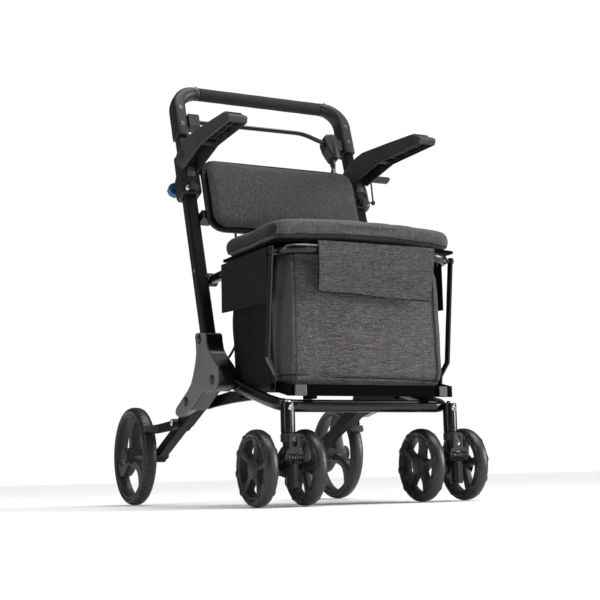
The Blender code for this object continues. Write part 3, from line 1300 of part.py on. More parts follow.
def smooth_route(points):
    """Points at even steps along a rounded curve through the route."""
    fine = []
    for index in range(len(points) - 1):
        p1, p2 = points[index], points[index + 1]
        p0 = points[index - 1] if index else p1 * 2 - p2
        p3 = points[index + 2] if index + 2 < len(points) else p2 * 2 - p1
        for step in range(12):
            t = step / 12
            fine.append(0.5 * (2 * p1 + (p2 - p0) * t + (2 * p0 - 5 * p1 + 4 * p2 - p3) * t ** 2
                               + (3 * p1 - p0 - 3 * p2 + p3) * t ** 3))
    fine.append(points[-1])
    even = [fine[0]]
    for point in fine[1:]:
        if (point - even[-1]).length >= CABLE_SPACING:
            even.append(point)
    even[-1] = fine[-1]
    return even


def cable(name, route, side, material, parent):
    """Round cable swept along its route, with flat ends; its length is printed."""
    points = smooth_route(fitted(route, side))
    length = sum((second - first).length for first, second in zip(points, points[1:]))
    print(f"{name}: {length:.3f} m, {len(points)} points")
    shape = sweep(points, circle(CABLE_RADIUS, CABLE_SIDES), (1.0, 0.0, 0.0))
    return part(name, shape, material, parent)


# Assembly
for old in list(bpy.data.objects):
    bpy.data.objects.remove(old)

black_metal = finish("black_anodised_metal", (0.012, 0.012, 0.013), 0.35, 0.85)
black_plastic = finish("black_plastic", (0.018, 0.018, 0.019), 0.50)
grey_plate = finish("grey_plate", (0.110, 0.105, 0.110), 0.45, 0.30)
rubber = finish("rubber", (0.030, 0.029, 0.030), 0.75)
foam = finish("grip_foam", (0.016, 0.016, 0.016), 0.90)
fabric = finish("grey_fabric", (0.060, 0.057, 0.062), 0.95)
black_fabric = finish("black_fabric", (0.012, 0.012, 0.013), 0.95)
blue_plastic = finish("blue_plastic", (0.010, 0.120, 0.420), 0.40)
steel = finish("bright_steel", (0.600, 0.600, 0.620), 0.25, 1.0)

walker = empty("walker", None, (0.0, -CENTRE_Y, 0.0))
mast_frame = empty("mast_frame", walker, (0.0, MAST_FOOT_Y, 0.0), lean=-LEAN)
handle_base = (0.0, 0.0, INNER_BOTTOM)
handle = empty("handle_slide", mast_frame, handle_base)
seat_base = (0.0, *PIVOT_A)
seat_fold = empty("seat_fold", walker, seat_base)
lid_base = (0.0, CROSS_TUBE_Y, CROSS_TUBE_Z)
seat_lid = empty("seat_lid", seat_fold, lid_base, seat_base)
frame_base = (0.0, *PIVOT_B)
frame_fold = empty("frame_fold", walker, frame_base)

for side, word in SIDES:
    part(f"mast_{word}", handed(mast(), side), black_metal, mast_frame)
    part(f"inner_tube_{word}", handed(inner_tube(), side), black_metal, handle, base=handle_base)
    part(f"elbow_{word}", handed(elbow(), side), black_plastic, handle, base=handle_base)
    part(f"clamp_{word}", handed(clamp(side), side), black_plastic, mast_frame)
    knob_place = (side * KNOB_X, KNOB_START, KNOB_S)
    part(f"height_knob_{word}", handed(height_knob(), side), blue_plastic, mast_frame, knob_place)
    part(f"side_casting_{word}", handed(side_casting(), side), black_plastic, walker)
    part(f"side_plate_{word}", handed(side_plate(), side), grey_plate, walker)
    part(f"rear_leg_{word}", handed(rear_leg(), side), black_metal, walker)
    arm_place = (side * MAST_X, *mast_to_world(ARM_PIVOT_D, ARM_PIVOT_S))
    part(f"armrest_{word}", handed(armrest(), side), black_plastic, walker, arm_place)
    brake_place = (side * LEG_OUTER, *leg_point(BRAKE_PIVOT_ALONG, 0.0))
    part(f"brake_arm_{word}", handed(brake_arm(), side), black_plastic, walker, brake_place)
    hub_place = Vector((side * REAR_WHEEL_X, REAR_AXLE_Y, REAR_RADIUS))
    rear_shapes = (
        ("rear_tyre", tyre(REAR_RADIUS, REAR_RIM_RADIUS + GAP, REAR_TYRE_WIDTH, REAR_FACETS), rubber),
        ("rear_rim", rear_rim(), black_plastic),
    )
    for name, shape, material in rear_shapes:
        handed(shape, side)
        bmesh.ops.translate(shape, vec=hub_place, verts=shape.verts)
        part(f"{name}_{word}", shape, material, walker, hub_place)
    bar_place = (side * BAR_X, *PIVOT_C)
    part(f"side_bar_{word}", handed(side_bar(), side), black_metal, seat_fold, bar_place, seat_base)
    part(f"flap_side_{word}", handed(flap_side(), side), fabric, seat_fold, seat_base, seat_base)

    swivel_base = Vector((side * CASTER_X, CASTER_SWIVEL_Y, 0.0))
    swivel = empty(f"caster_swivel_{word}", frame_fold, swivel_base, frame_base)
    lock_base = Vector((0.0, LOCK_PIN_Y, LOCK_PIN_Z))
    axle_place = Vector((0.0, TRAIL, FRONT_RADIUS))
    part(f"caster_fork_{word}", caster_fork(), black_plastic, swivel)
    part(f"swivel_lock_{word}", swivel_lock(), black_plastic, swivel, lock_base)
    part(f"caster_spring_{word}", caster_spring(), steel, swivel, lock_base)
    for turn, wheel_word in ((1, "b"), (-1, "a")):
        wheel_place = axle_place + Vector((turn * FRONT_WHEEL_OFFSET, 0.0, 0.0))
        front_shapes = (
            ("front_tyre", tyre(FRONT_RADIUS, FRONT_RIM_RADIUS + GAP, FRONT_TYRE_WIDTH, FRONT_FACETS),
             rubber),
            ("front_hub", front_hub(), black_plastic),
        )
        for name, shape, material in front_shapes:
            handed(shape, turn)
            bmesh.ops.translate(shape, vec=wheel_place, verts=shape.verts)
            part(f"{name}_{word}_{wheel_word}", shape, material, swivel, wheel_place)

part("grip", grip(), foam, handle, (0.0, 0.0, GRIP_S), handle_base)
part("brake_housing", brake_housing(), black_plastic, handle, base=handle_base)
part("brake_bracket", handed(brake_bracket(), -1), black_plastic, handle, base=handle_base)
bar_pivot = (-BRAKE_BAR_PIVOT_X, BAR_D, BRAKE_BAR_PIVOT_S)
part("brake_bar", brake_bar(), black_metal, handle, bar_pivot, handle_base)
latch_base = (MAST_X, LATCH_D, LATCH_S)
armrest_latch = empty("armrest_latch", mast_frame, latch_base)
part("latch_rod", latch_rod(), steel, armrest_latch, latch_base, latch_base)
part("paddle_lever", paddle_lever(), black_plastic, armrest_latch, latch_base, latch_base)
part("backrest_shell", backrest_shell(), black_plastic, mast_frame)
part("backrest_pad", backrest_pad(), fabric, mast_frame)
part("seat_rail", seat_rail(), black_metal, seat_fold, seat_base, seat_base)
part("seat_board", seat_board(), black_plastic, seat_lid, lid_base, lid_base)
part("seat_cushion", seat_cushion(), fabric, seat_lid, lid_base, lid_base)
part("bag", bag(), fabric, seat_fold, seat_base, seat_base)
part("flap_front", flap_front(), fabric, seat_fold, seat_base, seat_base)
part("lower_frame", lower_frame(), black_metal, frame_fold, frame_base, frame_base)
part("tray", tray(), black_plastic, frame_fold, frame_base, frame_base)
cable("brake_cable_right", RIGHT_ROUTE, 1, rubber, walker)
cable("brake_cable_left", LEFT_ROUTE, -1, rubber, walker)
report_coil_gap(coil_points())
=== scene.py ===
"""Looks of the shopping walker: frame tubes, moulded parts, wheels, cushions, bag, cables and fasteners.

Metres, +Z up, the front of the walker faces -Y and its right-hand pieces are on +X.
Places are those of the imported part. Points on the leaning masts are given as x across, d square to the mast
and s along it. A section that is spun is a list of (radius, along).
"""

from contextlib import contextmanager
from math import atan, cos, hypot, pi, radians, sin, sqrt, tan

import bmesh
import bpy
from mathutils import Matrix, Vector, noise


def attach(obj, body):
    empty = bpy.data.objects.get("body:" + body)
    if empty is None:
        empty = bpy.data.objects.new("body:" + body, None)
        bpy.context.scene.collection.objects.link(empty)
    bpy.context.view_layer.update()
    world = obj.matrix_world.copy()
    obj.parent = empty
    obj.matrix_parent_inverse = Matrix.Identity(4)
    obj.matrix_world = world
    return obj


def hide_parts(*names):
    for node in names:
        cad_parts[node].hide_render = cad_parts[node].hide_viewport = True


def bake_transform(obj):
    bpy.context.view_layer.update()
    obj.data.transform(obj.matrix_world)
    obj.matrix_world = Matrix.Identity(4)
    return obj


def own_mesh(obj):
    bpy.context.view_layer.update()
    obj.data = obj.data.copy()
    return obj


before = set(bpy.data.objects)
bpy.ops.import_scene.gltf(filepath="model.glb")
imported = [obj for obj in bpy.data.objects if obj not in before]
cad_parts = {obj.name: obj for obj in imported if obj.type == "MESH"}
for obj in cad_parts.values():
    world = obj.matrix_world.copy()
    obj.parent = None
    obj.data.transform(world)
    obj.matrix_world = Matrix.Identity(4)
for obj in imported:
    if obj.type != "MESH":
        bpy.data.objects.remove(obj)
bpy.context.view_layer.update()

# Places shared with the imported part
SHIFT = 0.00175
LEAN = atan(0.306)
MAST_FOOT_Y = -0.14 + SHIFT
MAST_X = 0.1932
REAR_WHEEL = (0.2378, 0.25 + SHIFT, 0.1)
FRONT_AXLE_Y = -0.2876 + SHIFT
FRONT_RADIUS = 0.0659
FRONT_WHEEL_REACH = 0.046
CASTER_X = 0.1645
SWIVEL_Y = -0.317 + SHIFT
PIVOT_A = (-0.0075 + SHIFT, 0.433)
PIVOT_B = (0.0217 + SHIFT, 0.1985)
PIVOT_C = (-0.3077 + SHIFT, 0.4405)
PIVOT_D = (PIVOT_C[0] + 0.0292, 0.206)
PLATE_BOLTS = ((-0.0484 + SHIFT, 0.3116), (-0.109 + SHIFT, 0.2304), PIVOT_B)
PLATE_FACE_X = 0.2139
GRIP_S = 0.8848
BAR_S = 0.8065
ARM_HINGE = Vector((MAST_X, 0.05404, 0.68993))
ARM_SPLAY = 0.042
ARM_SPLAY_FROM = -0.0343

# Cushion, backrest, bag and flaps
CUSHION_HALF = 0.193
CUSHION_BACK_Y = -0.09 + SHIFT
CUSHION_FRONT_Y = -0.325 + SHIFT
CUSHION_BASE_Z = 0.4573
CUSHION_TOP_Z = 0.506
CUSHION_DEPTH = 0.0357
CUSHION_CORNER = 0.03
CUSHION_BOW = 0.01
PAD_HALF = 0.1736
PAD_LOW_S = 0.5466
PAD_HIGH_S = 0.7077
PAD_BORDER = 0.002
PAD_BACK_D = -0.0308
BAG_FOOT_Z = 0.2205
BAG_FLOOR_Z = 0.2085
BAG_NECK_Z = 0.405
BAG_TOP_Z = 0.44
BAG_FRONT_HALF = 0.141
BAG_FRONT_COUNT = 96
BAG_SIDE_COUNT = 36
FLAP_AT = (0, -0.3449, 0.455)
FLAP_DROP = 0.091
FLAP_HALF = 0.119
FLAP_BEND = 0.0125
SIDE_FLAP_DROP = 0.095

# Directions
ORIGIN = (0, 0, 0)
RIGHT = (1, 0, 0)
BACKWARDS = (0, 1, 0)
UP = (0, 0, 1)
MIRROR = Matrix.Scale(-1.0, 4, RIGHT)
SIDES = ((1, "right"), (-1, "left"))

# Studio
AIR_GLOW = 0.13
KEY_FROM = (0.84, -0.5, 0.26)
KEY_POWER = 2.7
TOP_FROM = (0.25, -0.1, 0.96)
TOP_POWER = 2.0
CAMERA_AT = (-1.114, -2.22925, 0.051)
CAMERA_TURNS = (radians(-27.069), radians(8.003), radians(-1.357))
CAMERA_LENS = 75.18


# Camera, floor and light
def photo_camera():
    """Camera of the photo, from its azimuth, pitch and roll."""
    azimuth, pitch, roll = CAMERA_TURNS
    ahead = Vector((-sin(azimuth) * cos(pitch), cos(azimuth) * cos(pitch), sin(pitch)))
    level = Vector((cos(azimuth), sin(azimuth), 0.0))
    lift = level.cross(ahead)
    right = level * cos(roll) + lift * sin(roll)
    up = lift * cos(roll) - level * sin(roll)
    bpy.ops.object.camera_add()
    camera = bpy.context.object
    camera.name = "photo_camera"
    turn = Matrix((right, up, -ahead)).transposed().to_4x4()
    camera.matrix_world = Matrix.Translation(CAMERA_AT) @ turn
    camera.data.lens = CAMERA_LENS
    camera.data.sensor_width = 36.0
    camera.data.clip_end = 60.0
    bpy.context.scene.camera = camera


def lamp(kind, name, at, power):
    bpy.ops.object.light_add(type=kind, location=at)
    made = bpy.context.object
    made.name = name
    made.data.energy = power
    return made


def sun(name, toward, power, width):
    made = lamp("SUN", name, (0, 0, 3), power)
    made.rotation_euler = Vector(toward).to_track_quat("Z", "Y").to_euler()
    made.data.angle = radians(width)


def softbox(name, at, aim, size, power):
    made = lamp("AREA", name, at, power)
    made.rotation_euler = (Vector(aim) - Vector(at)).to_track_quat("-Z", "Y").to_euler()
    made.data.shape = "RECTANGLE"
    made.data.size, made.data.size_y = size


def studio():
    """Pale floor, white surround that lights softly, two broad suns and four softboxes."""
    bpy.ops.mesh.primitive_plane_add(size=40.0, location=(0.0, 0.0, -0.0006))
    floor = bpy.context.object
    floor.name = "studio_floor"
    paint = Finish("pale_floor", 0.0, 0.1)
    paint.shader["Base Color"].default_value = grey(0.95)
    paint.shader["Roughness"].default_value = 0.85
    floor.data.materials.append(paint.material)
    world = bpy.data.worlds.new("studio_air")
    bpy.context.scene.world = world
    world.use_nodes = True
    air = Nodes(world.node_tree)
    glow = air.tree.nodes["Background"].inputs
    glow["Color"].default_value = grey(1.0)
    seen = air.add("LightPath")["Is Camera Ray"]
    air.tree.links.new(air.spread(seen, to_low=AIR_GLOW), glow["Strength"])
    bpy.context.scene.view_settings.view_transform = "Standard"
    sun("key_light", KEY_FROM, KEY_POWER, 30.0)
    sun("top_light", TOP_FROM, TOP_POWER, 45.0)
    softbox("right_softbox", (2.2, -1.6, 1.3), (0.0, -0.1, 0.4), (0.4, 2.0), 12.0)
    softbox("top_softbox", (-0.2, -0.4, 2.3), (0.0, -0.1, 0.4), (2.0, 0.4), 14.0)
    softbox("left_strip", (-1.8, -0.7, 0.95), (0.0, -0.1, 0.3), (0.12, 1.6), 6.0)
    softbox("front_strip", (0.5, -2.6, 0.75), (0.0, -0.2, 0.3), (0.1, 1.4), 5.0)


# Finishes
def grey(value, tint=(1.0, 1.0, 1.0)):
    return (value * tint[0], value * tint[1], value * tint[2], 1.0)


class Nodes:
    """Shader nodes of one tree, laid by short calls."""

    def __init__(self, tree):
        self.tree = tree

    def add(self, kind, sockets=None, **settings):
        """New node; a socket value is a constant or another node's output."""
        made = self.tree.nodes.new("ShaderNode" + kind)
        for key, value in settings.items():
            setattr(made, key, value)
        for key, value in (sockets or {}).items():
            if isinstance(value, bpy.types.NodeSocket):
                self.tree.links.new(value, made.inputs[key])
            else:
                made.inputs[key].default_value = value
        return made.outputs

    def math(self, operation, first, second=0.5):
        return self.add("Math", {0: first, 1: second}, operation=operation)[0]

    def spread(self, value, low=0.0, high=1.0, to_low=0.0, to_high=1.0):
        sockets = {"Value": value, "From Min": low, "From Max": high, "To Min": to_low, "To Max": to_high}
        return self.add("MapRange", sockets)["Result"]

    def blend(self, share, first, second, mode="MIX"):
        sockets = {"Factor": share, 6: first, 7: second}
        return self.add("Mix", sockets, data_type="RGBA", blend_type=mode)[2]


class Finish(Nodes):
    """New material, with its shader's inputs and the object's own coordinates and normals."""

    def __init__(self, name, metallic=0.0, specular=0.5, sheen=0.0):
        self.material = bpy.data.materials.new(name)
        self.material.use_nodes = True
        super().__init__(self.material.node_tree)
        self.shader = self.tree.nodes["Principled BSDF"].inputs
        values = {"Metallic": metallic, "Specular IOR Level": specular, "Sheen Weight": sheen}
        for key, value in values.items():
            self.shader[key].default_value = value
        coordinates = self.add("TexCoord")
        self.place, self.normal = coordinates["Object"], coordinates["Normal"]

    def grain(self, scale, detail=3.0, rough=0.6):
        """Noise over the piece; scale is one number, or three for a stretched grain."""
        place = self.place
        if isinstance(scale, tuple):
            place = self.add("Mapping", {"Vector": place, "Scale": scale})["Vector"]
            scale = 1.0
        sockets = {"Vector": place, "Scale": scale, "Detail": detail, "Roughness": rough}
        return self.add("TexNoise", sockets)["Fac"]

    def tones(self, mask, base, darker, paler, tint=(1.0, 1.0, 1.0)):
        """Soft colour drift between two shades of the base."""
        return self.blend(self.spread(mask, 0.3, 0.7), grey(base * darker, tint), grey(base * paler, tint))

    def marked(self, color, mask, most, value, tint=(1.0, 1.0, 1.0)):
        """Marks of another value where the mask is high."""
        return self.blend(self.spread(mask, to_high=most), color, grey(value, tint))

    def woven(self, weave):
        """Height of a plain weave: two crossing sets of fine threads.

        On a face that looks up or down the upright set is left out, as it would draw contour lines there.
        """
        sockets = {"Vector": self.place, "Scale": weave / 6.28, "Distortion": 0.8, "Detail": 1.0,
                   "Detail Scale": 2.0}
        threads = [self.add("TexWave", sockets, bands_direction=direction)["Fac"] for direction in "XYZ"]
        facing_up = self.add("SeparateXYZ", {"Vector": self.normal})["Z"]
        level = self.spread(self.math("ABSOLUTE", facing_up), 0.7, 0.9)
        upright = self.spread(level, to_low=threads[2])
        return self.math("MULTIPLY", self.math("MAXIMUM", threads[0], threads[1]), upright)

    def laid(self, color, roughness, height, strength, distance):
        """Colour, roughness and relief onto the shader."""
        bump = self.add("Bump", {"Height": height, "Strength": strength, "Distance": distance})["Normal"]
        for key, value in (("Base Color", color), ("Roughness", roughness), ("Normal", bump)):
            self.tree.links.new(value, self.shader[key])
        return self.material


def moulded(name, base, roughness, tint, texture, strength, spec=0.45):
    """Moulded or coated surface: pebble grain, soft colour drift and rubbed patches that shine more."""
    made = Finish(name, 0.0, spec)
    pebble = made.grain(texture, 2.0, 0.5)
    rubbed = made.spread(made.grain(55.0, 5.0, 0.7), 0.6, 0.78)
    color = made.tones(made.grain(14.0, 3.0, 0.55), base, 0.82, 1.18, tint)
    color = made.marked(color, rubbed, 0.35, base * 1.9, tint)
    rough = made.spread(rubbed, to_low=roughness, to_high=roughness - 0.12)
    return made.laid(color, rough, pebble, strength, 0.0004)


def brushed(name, base, roughness, metal=1.0, tint=(1.0, 1.0, 1.0)):
    """Metal with fine drawn lines and small scuffs."""
    made = Finish(name, metal, 0.5)
    lines = made.grain((300.0, 300.0, 4000.0), 2.0, 0.5)
    scuff = made.spread(made.grain(240.0, 5.0, 0.7), 0.58, 0.75)
    color = made.marked(made.tones(lines, base, 0.85, 1.1, tint), scuff, 0.4, min(0.9, base * 1.6), tint)
    rough = made.spread(lines, 0.25, 0.75, roughness - 0.05, roughness + 0.1)
    return made.laid(color, rough, lines, 0.12, 0.0002)


def heathered(name, dark, pale, long_way, fleck):
    """Mixed-yarn cloth: plain weave, slubby streaks the long way of the yarn, pale flecks and dark holes; the
    weave's low places are darkened, painted shade between the threads.
    """
    made = Finish(name, 0.0, 0.2, 0.1)
    tint = (1.0, 0.925, 1.0)
    along, wide = (tuple(low if axis in long_way else high for axis in "xyz")
                   for low, high in ((75.0, 1150.0), (26.0, 420.0)))
    streak = made.spread(made.grain(along), 0.46, 0.7)
    slub = made.spread(made.grain(wide), 0.5, 0.74)
    speck = made.spread(made.grain(560.0, 2.0, 0.7), 0.53, 0.7)
    hole = made.spread(made.grain(430.0, 2.0, 0.7), 0.54, 0.7)
    color = made.tones(made.grain(9.0, 2.0, 0.5), dark, 0.88, 1.12, tint)
    for mask, most, value in ((streak, 0.42 * fleck, pale), (slub, 0.26 * fleck, pale * 0.9),
                              (speck, 0.6 * fleck, pale * 1.1), (hole, 0.6, dark * 0.3)):
        color = made.marked(color, mask, most, value, tint)
    height = made.woven(1500.0)
    # Painted shade: the colour is darkened where the weave is low, between the threads
    color = made.blend(1.0, color, made.spread(height, to_low=0.72), "MULTIPLY")
    return made.laid(color, made.spread(streak, to_low=0.95, to_high=0.85), height, 0.55, 0.0006)


def plain_cloth(name, dark, pale):
    """Plain cloth with a faint weave and lint."""
    made = Finish(name, 0.0, 0.12, 0.02)
    lint = made.spread(made.grain(520.0, 3.0, 0.7), 0.58, 0.8)
    color = made.marked(made.tones(made.grain(7.0, 3.0, 0.5), dark, 0.8, 1.2), lint, 0.5, pale)
    return made.laid(color, made.spread(lint, to_low=0.92, to_high=0.8), made.woven(1700.0), 0.4, 0.0005)


NEUTRAL = (1.0, 1.0, 1.0)
WARM = (1.0, 0.95, 0.99)
ROSY = (1.0, 0.94, 0.99)
frame_black = moulded("satin_black_tube", 0.004, 0.22, (1.0, 1.0, 1.02), 2600.0, 0.05)
plastic_black = moulded("moulded_black_plastic", 0.0085, 0.44, WARM, 1500.0, 0.22, 0.35)
tray_black = moulded("tray_black_paint", 0.0014, 0.6, NEUTRAL, 2300.0, 0.1, 0.02)
dark_black = moulded("deep_black_plastic", 0.0045, 0.38, NEUTRAL, 1900.0, 0.15, 0.3)
arm_plastic = moulded("armrest_plastic", 0.036, 0.48, WARM, 1300.0, 0.24, 0.3)
leg_plastic = moulded("leg_black_plastic", 0.0055, 0.55, WARM, 1500.0, 0.2, 0.16)
cast_black = moulded("black_casting", 0.003, 0.26, NEUTRAL, 1800.0, 0.08, 0.5)
grey_cast = moulded("grey_cast_cover", 0.128, 0.42, ROSY, 1500.0, 0.24, 0.4)
wheel_grey = moulded("wheel_plastic_grey", 0.023, 0.42, ROSY, 1500.0, 0.18, 0.35)
tyre_rubber = moulded("tyre_rubber", 0.0145, 0.37, (1.0, 0.94, 0.98), 900.0, 0.22)
grip_foam = moulded("grip_foam_skin", 0.013, 0.7, (1.0, 0.97, 0.99), 2100.0, 0.6, 0.25)
cable_skin = moulded("cable_jacket_black", 0.006, 0.34, NEUTRAL, 2500.0, 0.08, 0.4)
blue_knob = moulded("blue_knob_plastic", 0.125, 0.34, (0.04, 0.6, 2.1), 1700.0, 0.15)
steel_bright = brushed("bright_steel", 0.62, 0.22)
steel_black = brushed("blackened_steel", 0.035, 0.3, 0.6)
steel_grey = brushed("grey_screw_steel", 0.2, 0.32)
tray_grey = brushed("tray_end_metal", 0.085, 0.4, 0.7, (1.0, 0.97, 1.0))
bag_cloth = heathered("bag_front_cloth", 0.048, 0.276, "xy", 1.45)
flap_cloth = heathered("bag_flap_cloth", 0.037, 0.222, "xy", 1.45)
# Painted shade: a darker copy of the bag's front cloth for its rounded front corners, as they look when
# turned from the light
shaded_corner_cloth = heathered("bag_corner_painted_shade_cloth", 0.064, 0.16, "xy", 0.7)
seat_cloth = heathered("seat_cushion_cloth", 0.066, 0.23, "yz", 1.1)
back_cloth = heathered("backrest_cloth", 0.031, 0.157, "z", 1.25)
# Painted shade: a dark copy of the seat cloth for the cushion's ends, as they look in shade
shaded_side_band_cloth = heathered("cushion_side_painted_shade_cloth", 0.016, 0.042, "z", 0.6)
# Painted shade: near-black cloth for the bag's sides, back and inside, standing for the bag cloth in shade
shaded_lining_cloth = plain_cloth("bag_side_painted_shade_cloth", 0.0065, 0.02)
# Painted shade: near-black cloth for the side flaps, standing for the flap cloth in shade
shaded_side_flap_cloth = plain_cloth("side_flap_painted_shade_cloth", 0.008, 0.026)
edge_cloth = plain_cloth("piping_cloth", 0.045, 0.12)
thread = plain_cloth("seam_thread", 0.01, 0.04)


# Modelling by hand: primitives, edit-mode operators and modifiers
MERGE_DISTANCE = 0.00001


def alone():
    """Leave edit mode and select nothing."""
    if bpy.context.object and bpy.context.object.mode != "OBJECT":
        bpy.ops.object.mode_set(mode="OBJECT")
    bpy.ops.object.select_all(action="DESELECT")


def take(obj):
    alone()
    obj.select_set(True)
    bpy.context.view_layer.objects.active = obj


@contextmanager
def editing(obj):
    """Edit mode on one piece, and out of it again."""
    take(obj)
    bpy.ops.object.mode_set(mode="EDIT")
    yield
    bpy.ops.object.mode_set(mode="OBJECT")


def applied(obj, kind, **settings):
    """The piece after one modifier, set and applied."""
    take(obj)
    modifier = obj.modifiers.new("step", kind)
    for key, value in settings.items():
        setattr(modifier, key, value)
    bpy.ops.object.modifier_apply(modifier=modifier.name)
    return obj


def softened(obj, width, segments=2, angle=30.0):
    """Rounded edges."""
    return applied(obj, "BEVEL", width=width, segments=segments, limit_method="ANGLE",
                   angle_limit=radians(angle))


def tidy(obj, angle=35.0):
    """Merge, face outwards, shade smooth up to an angle."""
    with editing(obj):
        bpy.ops.mesh.select_all(action="SELECT")
        bpy.ops.mesh.remove_doubles(threshold=MERGE_DISTANCE)
        bpy.ops.mesh.delete_loose()
        bpy.ops.mesh.select_all(action="SELECT")
        bpy.ops.mesh.normals_make_consistent(inside=False)
    bpy.ops.object.shade_smooth_by_angle(angle=radians(angle))
    return obj


def choose_faces(obj, wanted):
    """In edit mode, select the faces that wanted(face) names."""
    bpy.ops.mesh.select_mode(type="FACE")
    bpy.ops.mesh.select_all(action="DESELECT")
    shape = bmesh.from_edit_mesh(obj.data)
    for face in shape.faces:
        face.select = wanted(face)
    bmesh.update_edit_mesh(obj.data)


def new_circle(name, count, fill="NOTHING"):
    alone()
    bpy.ops.mesh.primitive_circle_add(vertices=count, fill_type=fill)
    obj = bpy.context.object
    obj.name = obj.data.name = name
    obj.data.transform(obj.matrix_world)
    bpy.ops.object.mode_set(mode="EDIT")
    shape = bmesh.from_edit_mesh(obj.data)
    shape.verts.ensure_lookup_table()
    return obj, shape


def skin(name, rings, closed=False):
    """Form drawn ring by ring: a face is laid on the first ring and extruded from ring to ring."""
    obj, shape = new_circle(name, len(rings[0]), "NOTHING" if closed else "NGON")
    keys = {}
    for index, vertex in enumerate(shape.verts):
        vertex.co = rings[0][index]
        keys[tuple(vertex.co)] = index
    for ring in rings[1:] + ([rings[0]] if closed else []):
        bmesh.update_edit_mesh(obj.data)
        bpy.ops.mesh.extrude_region()
        shape = bmesh.from_edit_mesh(obj.data)
        fresh = {}
        for vertex in shape.verts:
            if vertex.select:
                index = keys[tuple(vertex.co)]
                vertex.co = ring[index]
                fresh[tuple(vertex.co)] = index
        keys = fresh
    bmesh.update_edit_mesh(obj.data)
    bpy.ops.object.mode_set(mode="OBJECT")
    return obj


def spun(name, section, centre=ORIGIN, axis="x", count=28):
    """Closed section of (radius, along) spun once round the x or z axis through centre."""
    obj, shape = new_circle(name, len(section))
    x, y, z = centre
    for vertex, (radius, along) in zip(shape.verts, section):
        vertex.co = (x + along, y + radius, z) if axis == "x" else (x + radius, y, z + along)
    bmesh.update_edit_mesh(obj.data)
    bpy.ops.mesh.select_all(action="SELECT")
    bpy.ops.mesh.spin(steps=count, angle=2 * pi, center=centre, axis=RIGHT if axis == "x" else UP)
    bpy.ops.object.mode_set(mode="OBJECT")
    return obj


def spun_pair(name, section, centre, count):
    """A form spun round the x axis, and its mirror image across the centre."""
    sections = [[(radius, side * along) for radius, along in section] for side, _ in SIDES]
    return [spun(name, each, centre, "x", count) for each in sections]


def joined(name, *pieces):
    """Several meshes as one piece."""
    take(pieces[0])
    for piece in pieces:
        piece.select_set(True)
    bpy.ops.object.join()
    obj = bpy.context.object
    obj.name = obj.data.name = name
    return obj


def sided(obj, side):
    """Right-hand piece, mirrored where the side is the left."""
    if side < 0:
        obj.data.transform(MIRROR)
    return obj


def twin(obj, name, move):
    """Copy with its own mesh, its points moved by a matrix."""
    copy = obj.copy()
    copy.data = obj.data.copy()
    copy.name = copy.data.name = name
    bpy.context.collection.objects.link(copy)
    copy.data.transform(move)
    return tidy(copy) if move.determinant() < 0 else copy


def dress(obj, body, finish, slot, *nodes, angle=35.0):
    """Finish, body and the solid that the piece stands for; slot is not used."""
    tidy(obj, angle)
    obj.data.materials.clear()
    obj.data.materials.append(finish)
    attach(obj, body)
    if nodes:
        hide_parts(*nodes)
    return obj


def cut_out(obj, *cutters):
    """Take each cutter's form out of the piece."""
    for cutter in cutters:
        tidy(cutter)
        applied(tidy(obj), "BOOLEAN", operation="DIFFERENCE", solver="EXACT", object=cutter)
        bpy.data.objects.remove(cutter)


# Outlines and paths
def corner_arc(before, here, after, radius, steps):
    """Points of the arc that rounds a corner, kept within its two edges."""
    back, ahead = before - here, after - here
    half = back.angle(ahead) / 2
    reach = min(radius / tan(half), 0.49 * back.length, 0.49 * ahead.length)
    back.normalize()
    ahead.normalize()
    centre = here + (back + ahead).normalized() * reach / cos(half)
    first = here + back * reach - centre
    axis = back.cross(ahead) * -1
    turns = [(pi - 2 * half) * step / steps for step in range(steps + 1)]
    return [centre + Matrix.Rotation(turn, 3, axis) @ first for turn in turns]


def rounded(corners, steps=6):
    """Closed outline through corners (a, b, radius), each rounded by an arc."""
    spots = [Vector((a, b, 0.0)) for a, b, _ in corners]
    outline = []
    for index, (here, (_, _, radius)) in enumerate(zip(spots, corners)):
        after = spots[(index + 1) % len(spots)]
        arc = corner_arc(spots[index - 1], here, after, radius, steps) if radius > 0.0 else [here]
        outline += [tuple(spot.xy) for spot in arc]
    return outline


def rounded_rect(half_a, half_b, radius, centre=(0.0, 0.0), steps=6):
    a, b = centre
    radius = min(radius, half_a * 0.999, half_b * 0.999)
    signs = ((1, -1), (1, 1), (-1, 1), (-1, -1))
    return rounded([(a + half_a * across, b + half_b * up, radius) for across, up in signs], steps)


def circle(radius, count=24):
    turns = [2 * pi * step / count for step in range(count)]
    return [(radius * cos(turn), radius * sin(turn)) for turn in turns]


def bent(corners, steps=10):
    """Open path through corners (x, y, z, radius) with an arc at each inner corner."""
    spots = [Vector(corner[:3]) for corner in corners]
    path = [spots[0]]
    for before, here, after, corner in zip(spots, spots[1:], spots[2:], corners[1:]):
        path += corner_arc(before, here, after, corner[3], steps)
    return path + [spots[-1]]


def flowing(route, spacing):
    """Points at even steps along a rounded curve through the route."""
    points = [Vector(point) for point in route]
    points = [points[0] * 2 - points[1]] + points + [points[-1] * 2 - points[-2]]
    fine = []
    for p0, p1, p2, p3 in zip(points, points[1:], points[2:], points[3:]):
        for step in range(24):
            t = step / 24
            fine.append(0.5 * (2 * p1 + (p2 - p0) * t + (2 * p0 - 5 * p1 + 4 * p2 - p3) * t ** 2
                               + (3 * p1 - p0 - 3 * p2 + p3) * t ** 3))
    even = [fine[0]]
    for point in fine[1:] + [points[-2]]:
        if (point - even[-1]).length >= spacing:
            even.append(point)
    even[-1] = points[-2]
    return even


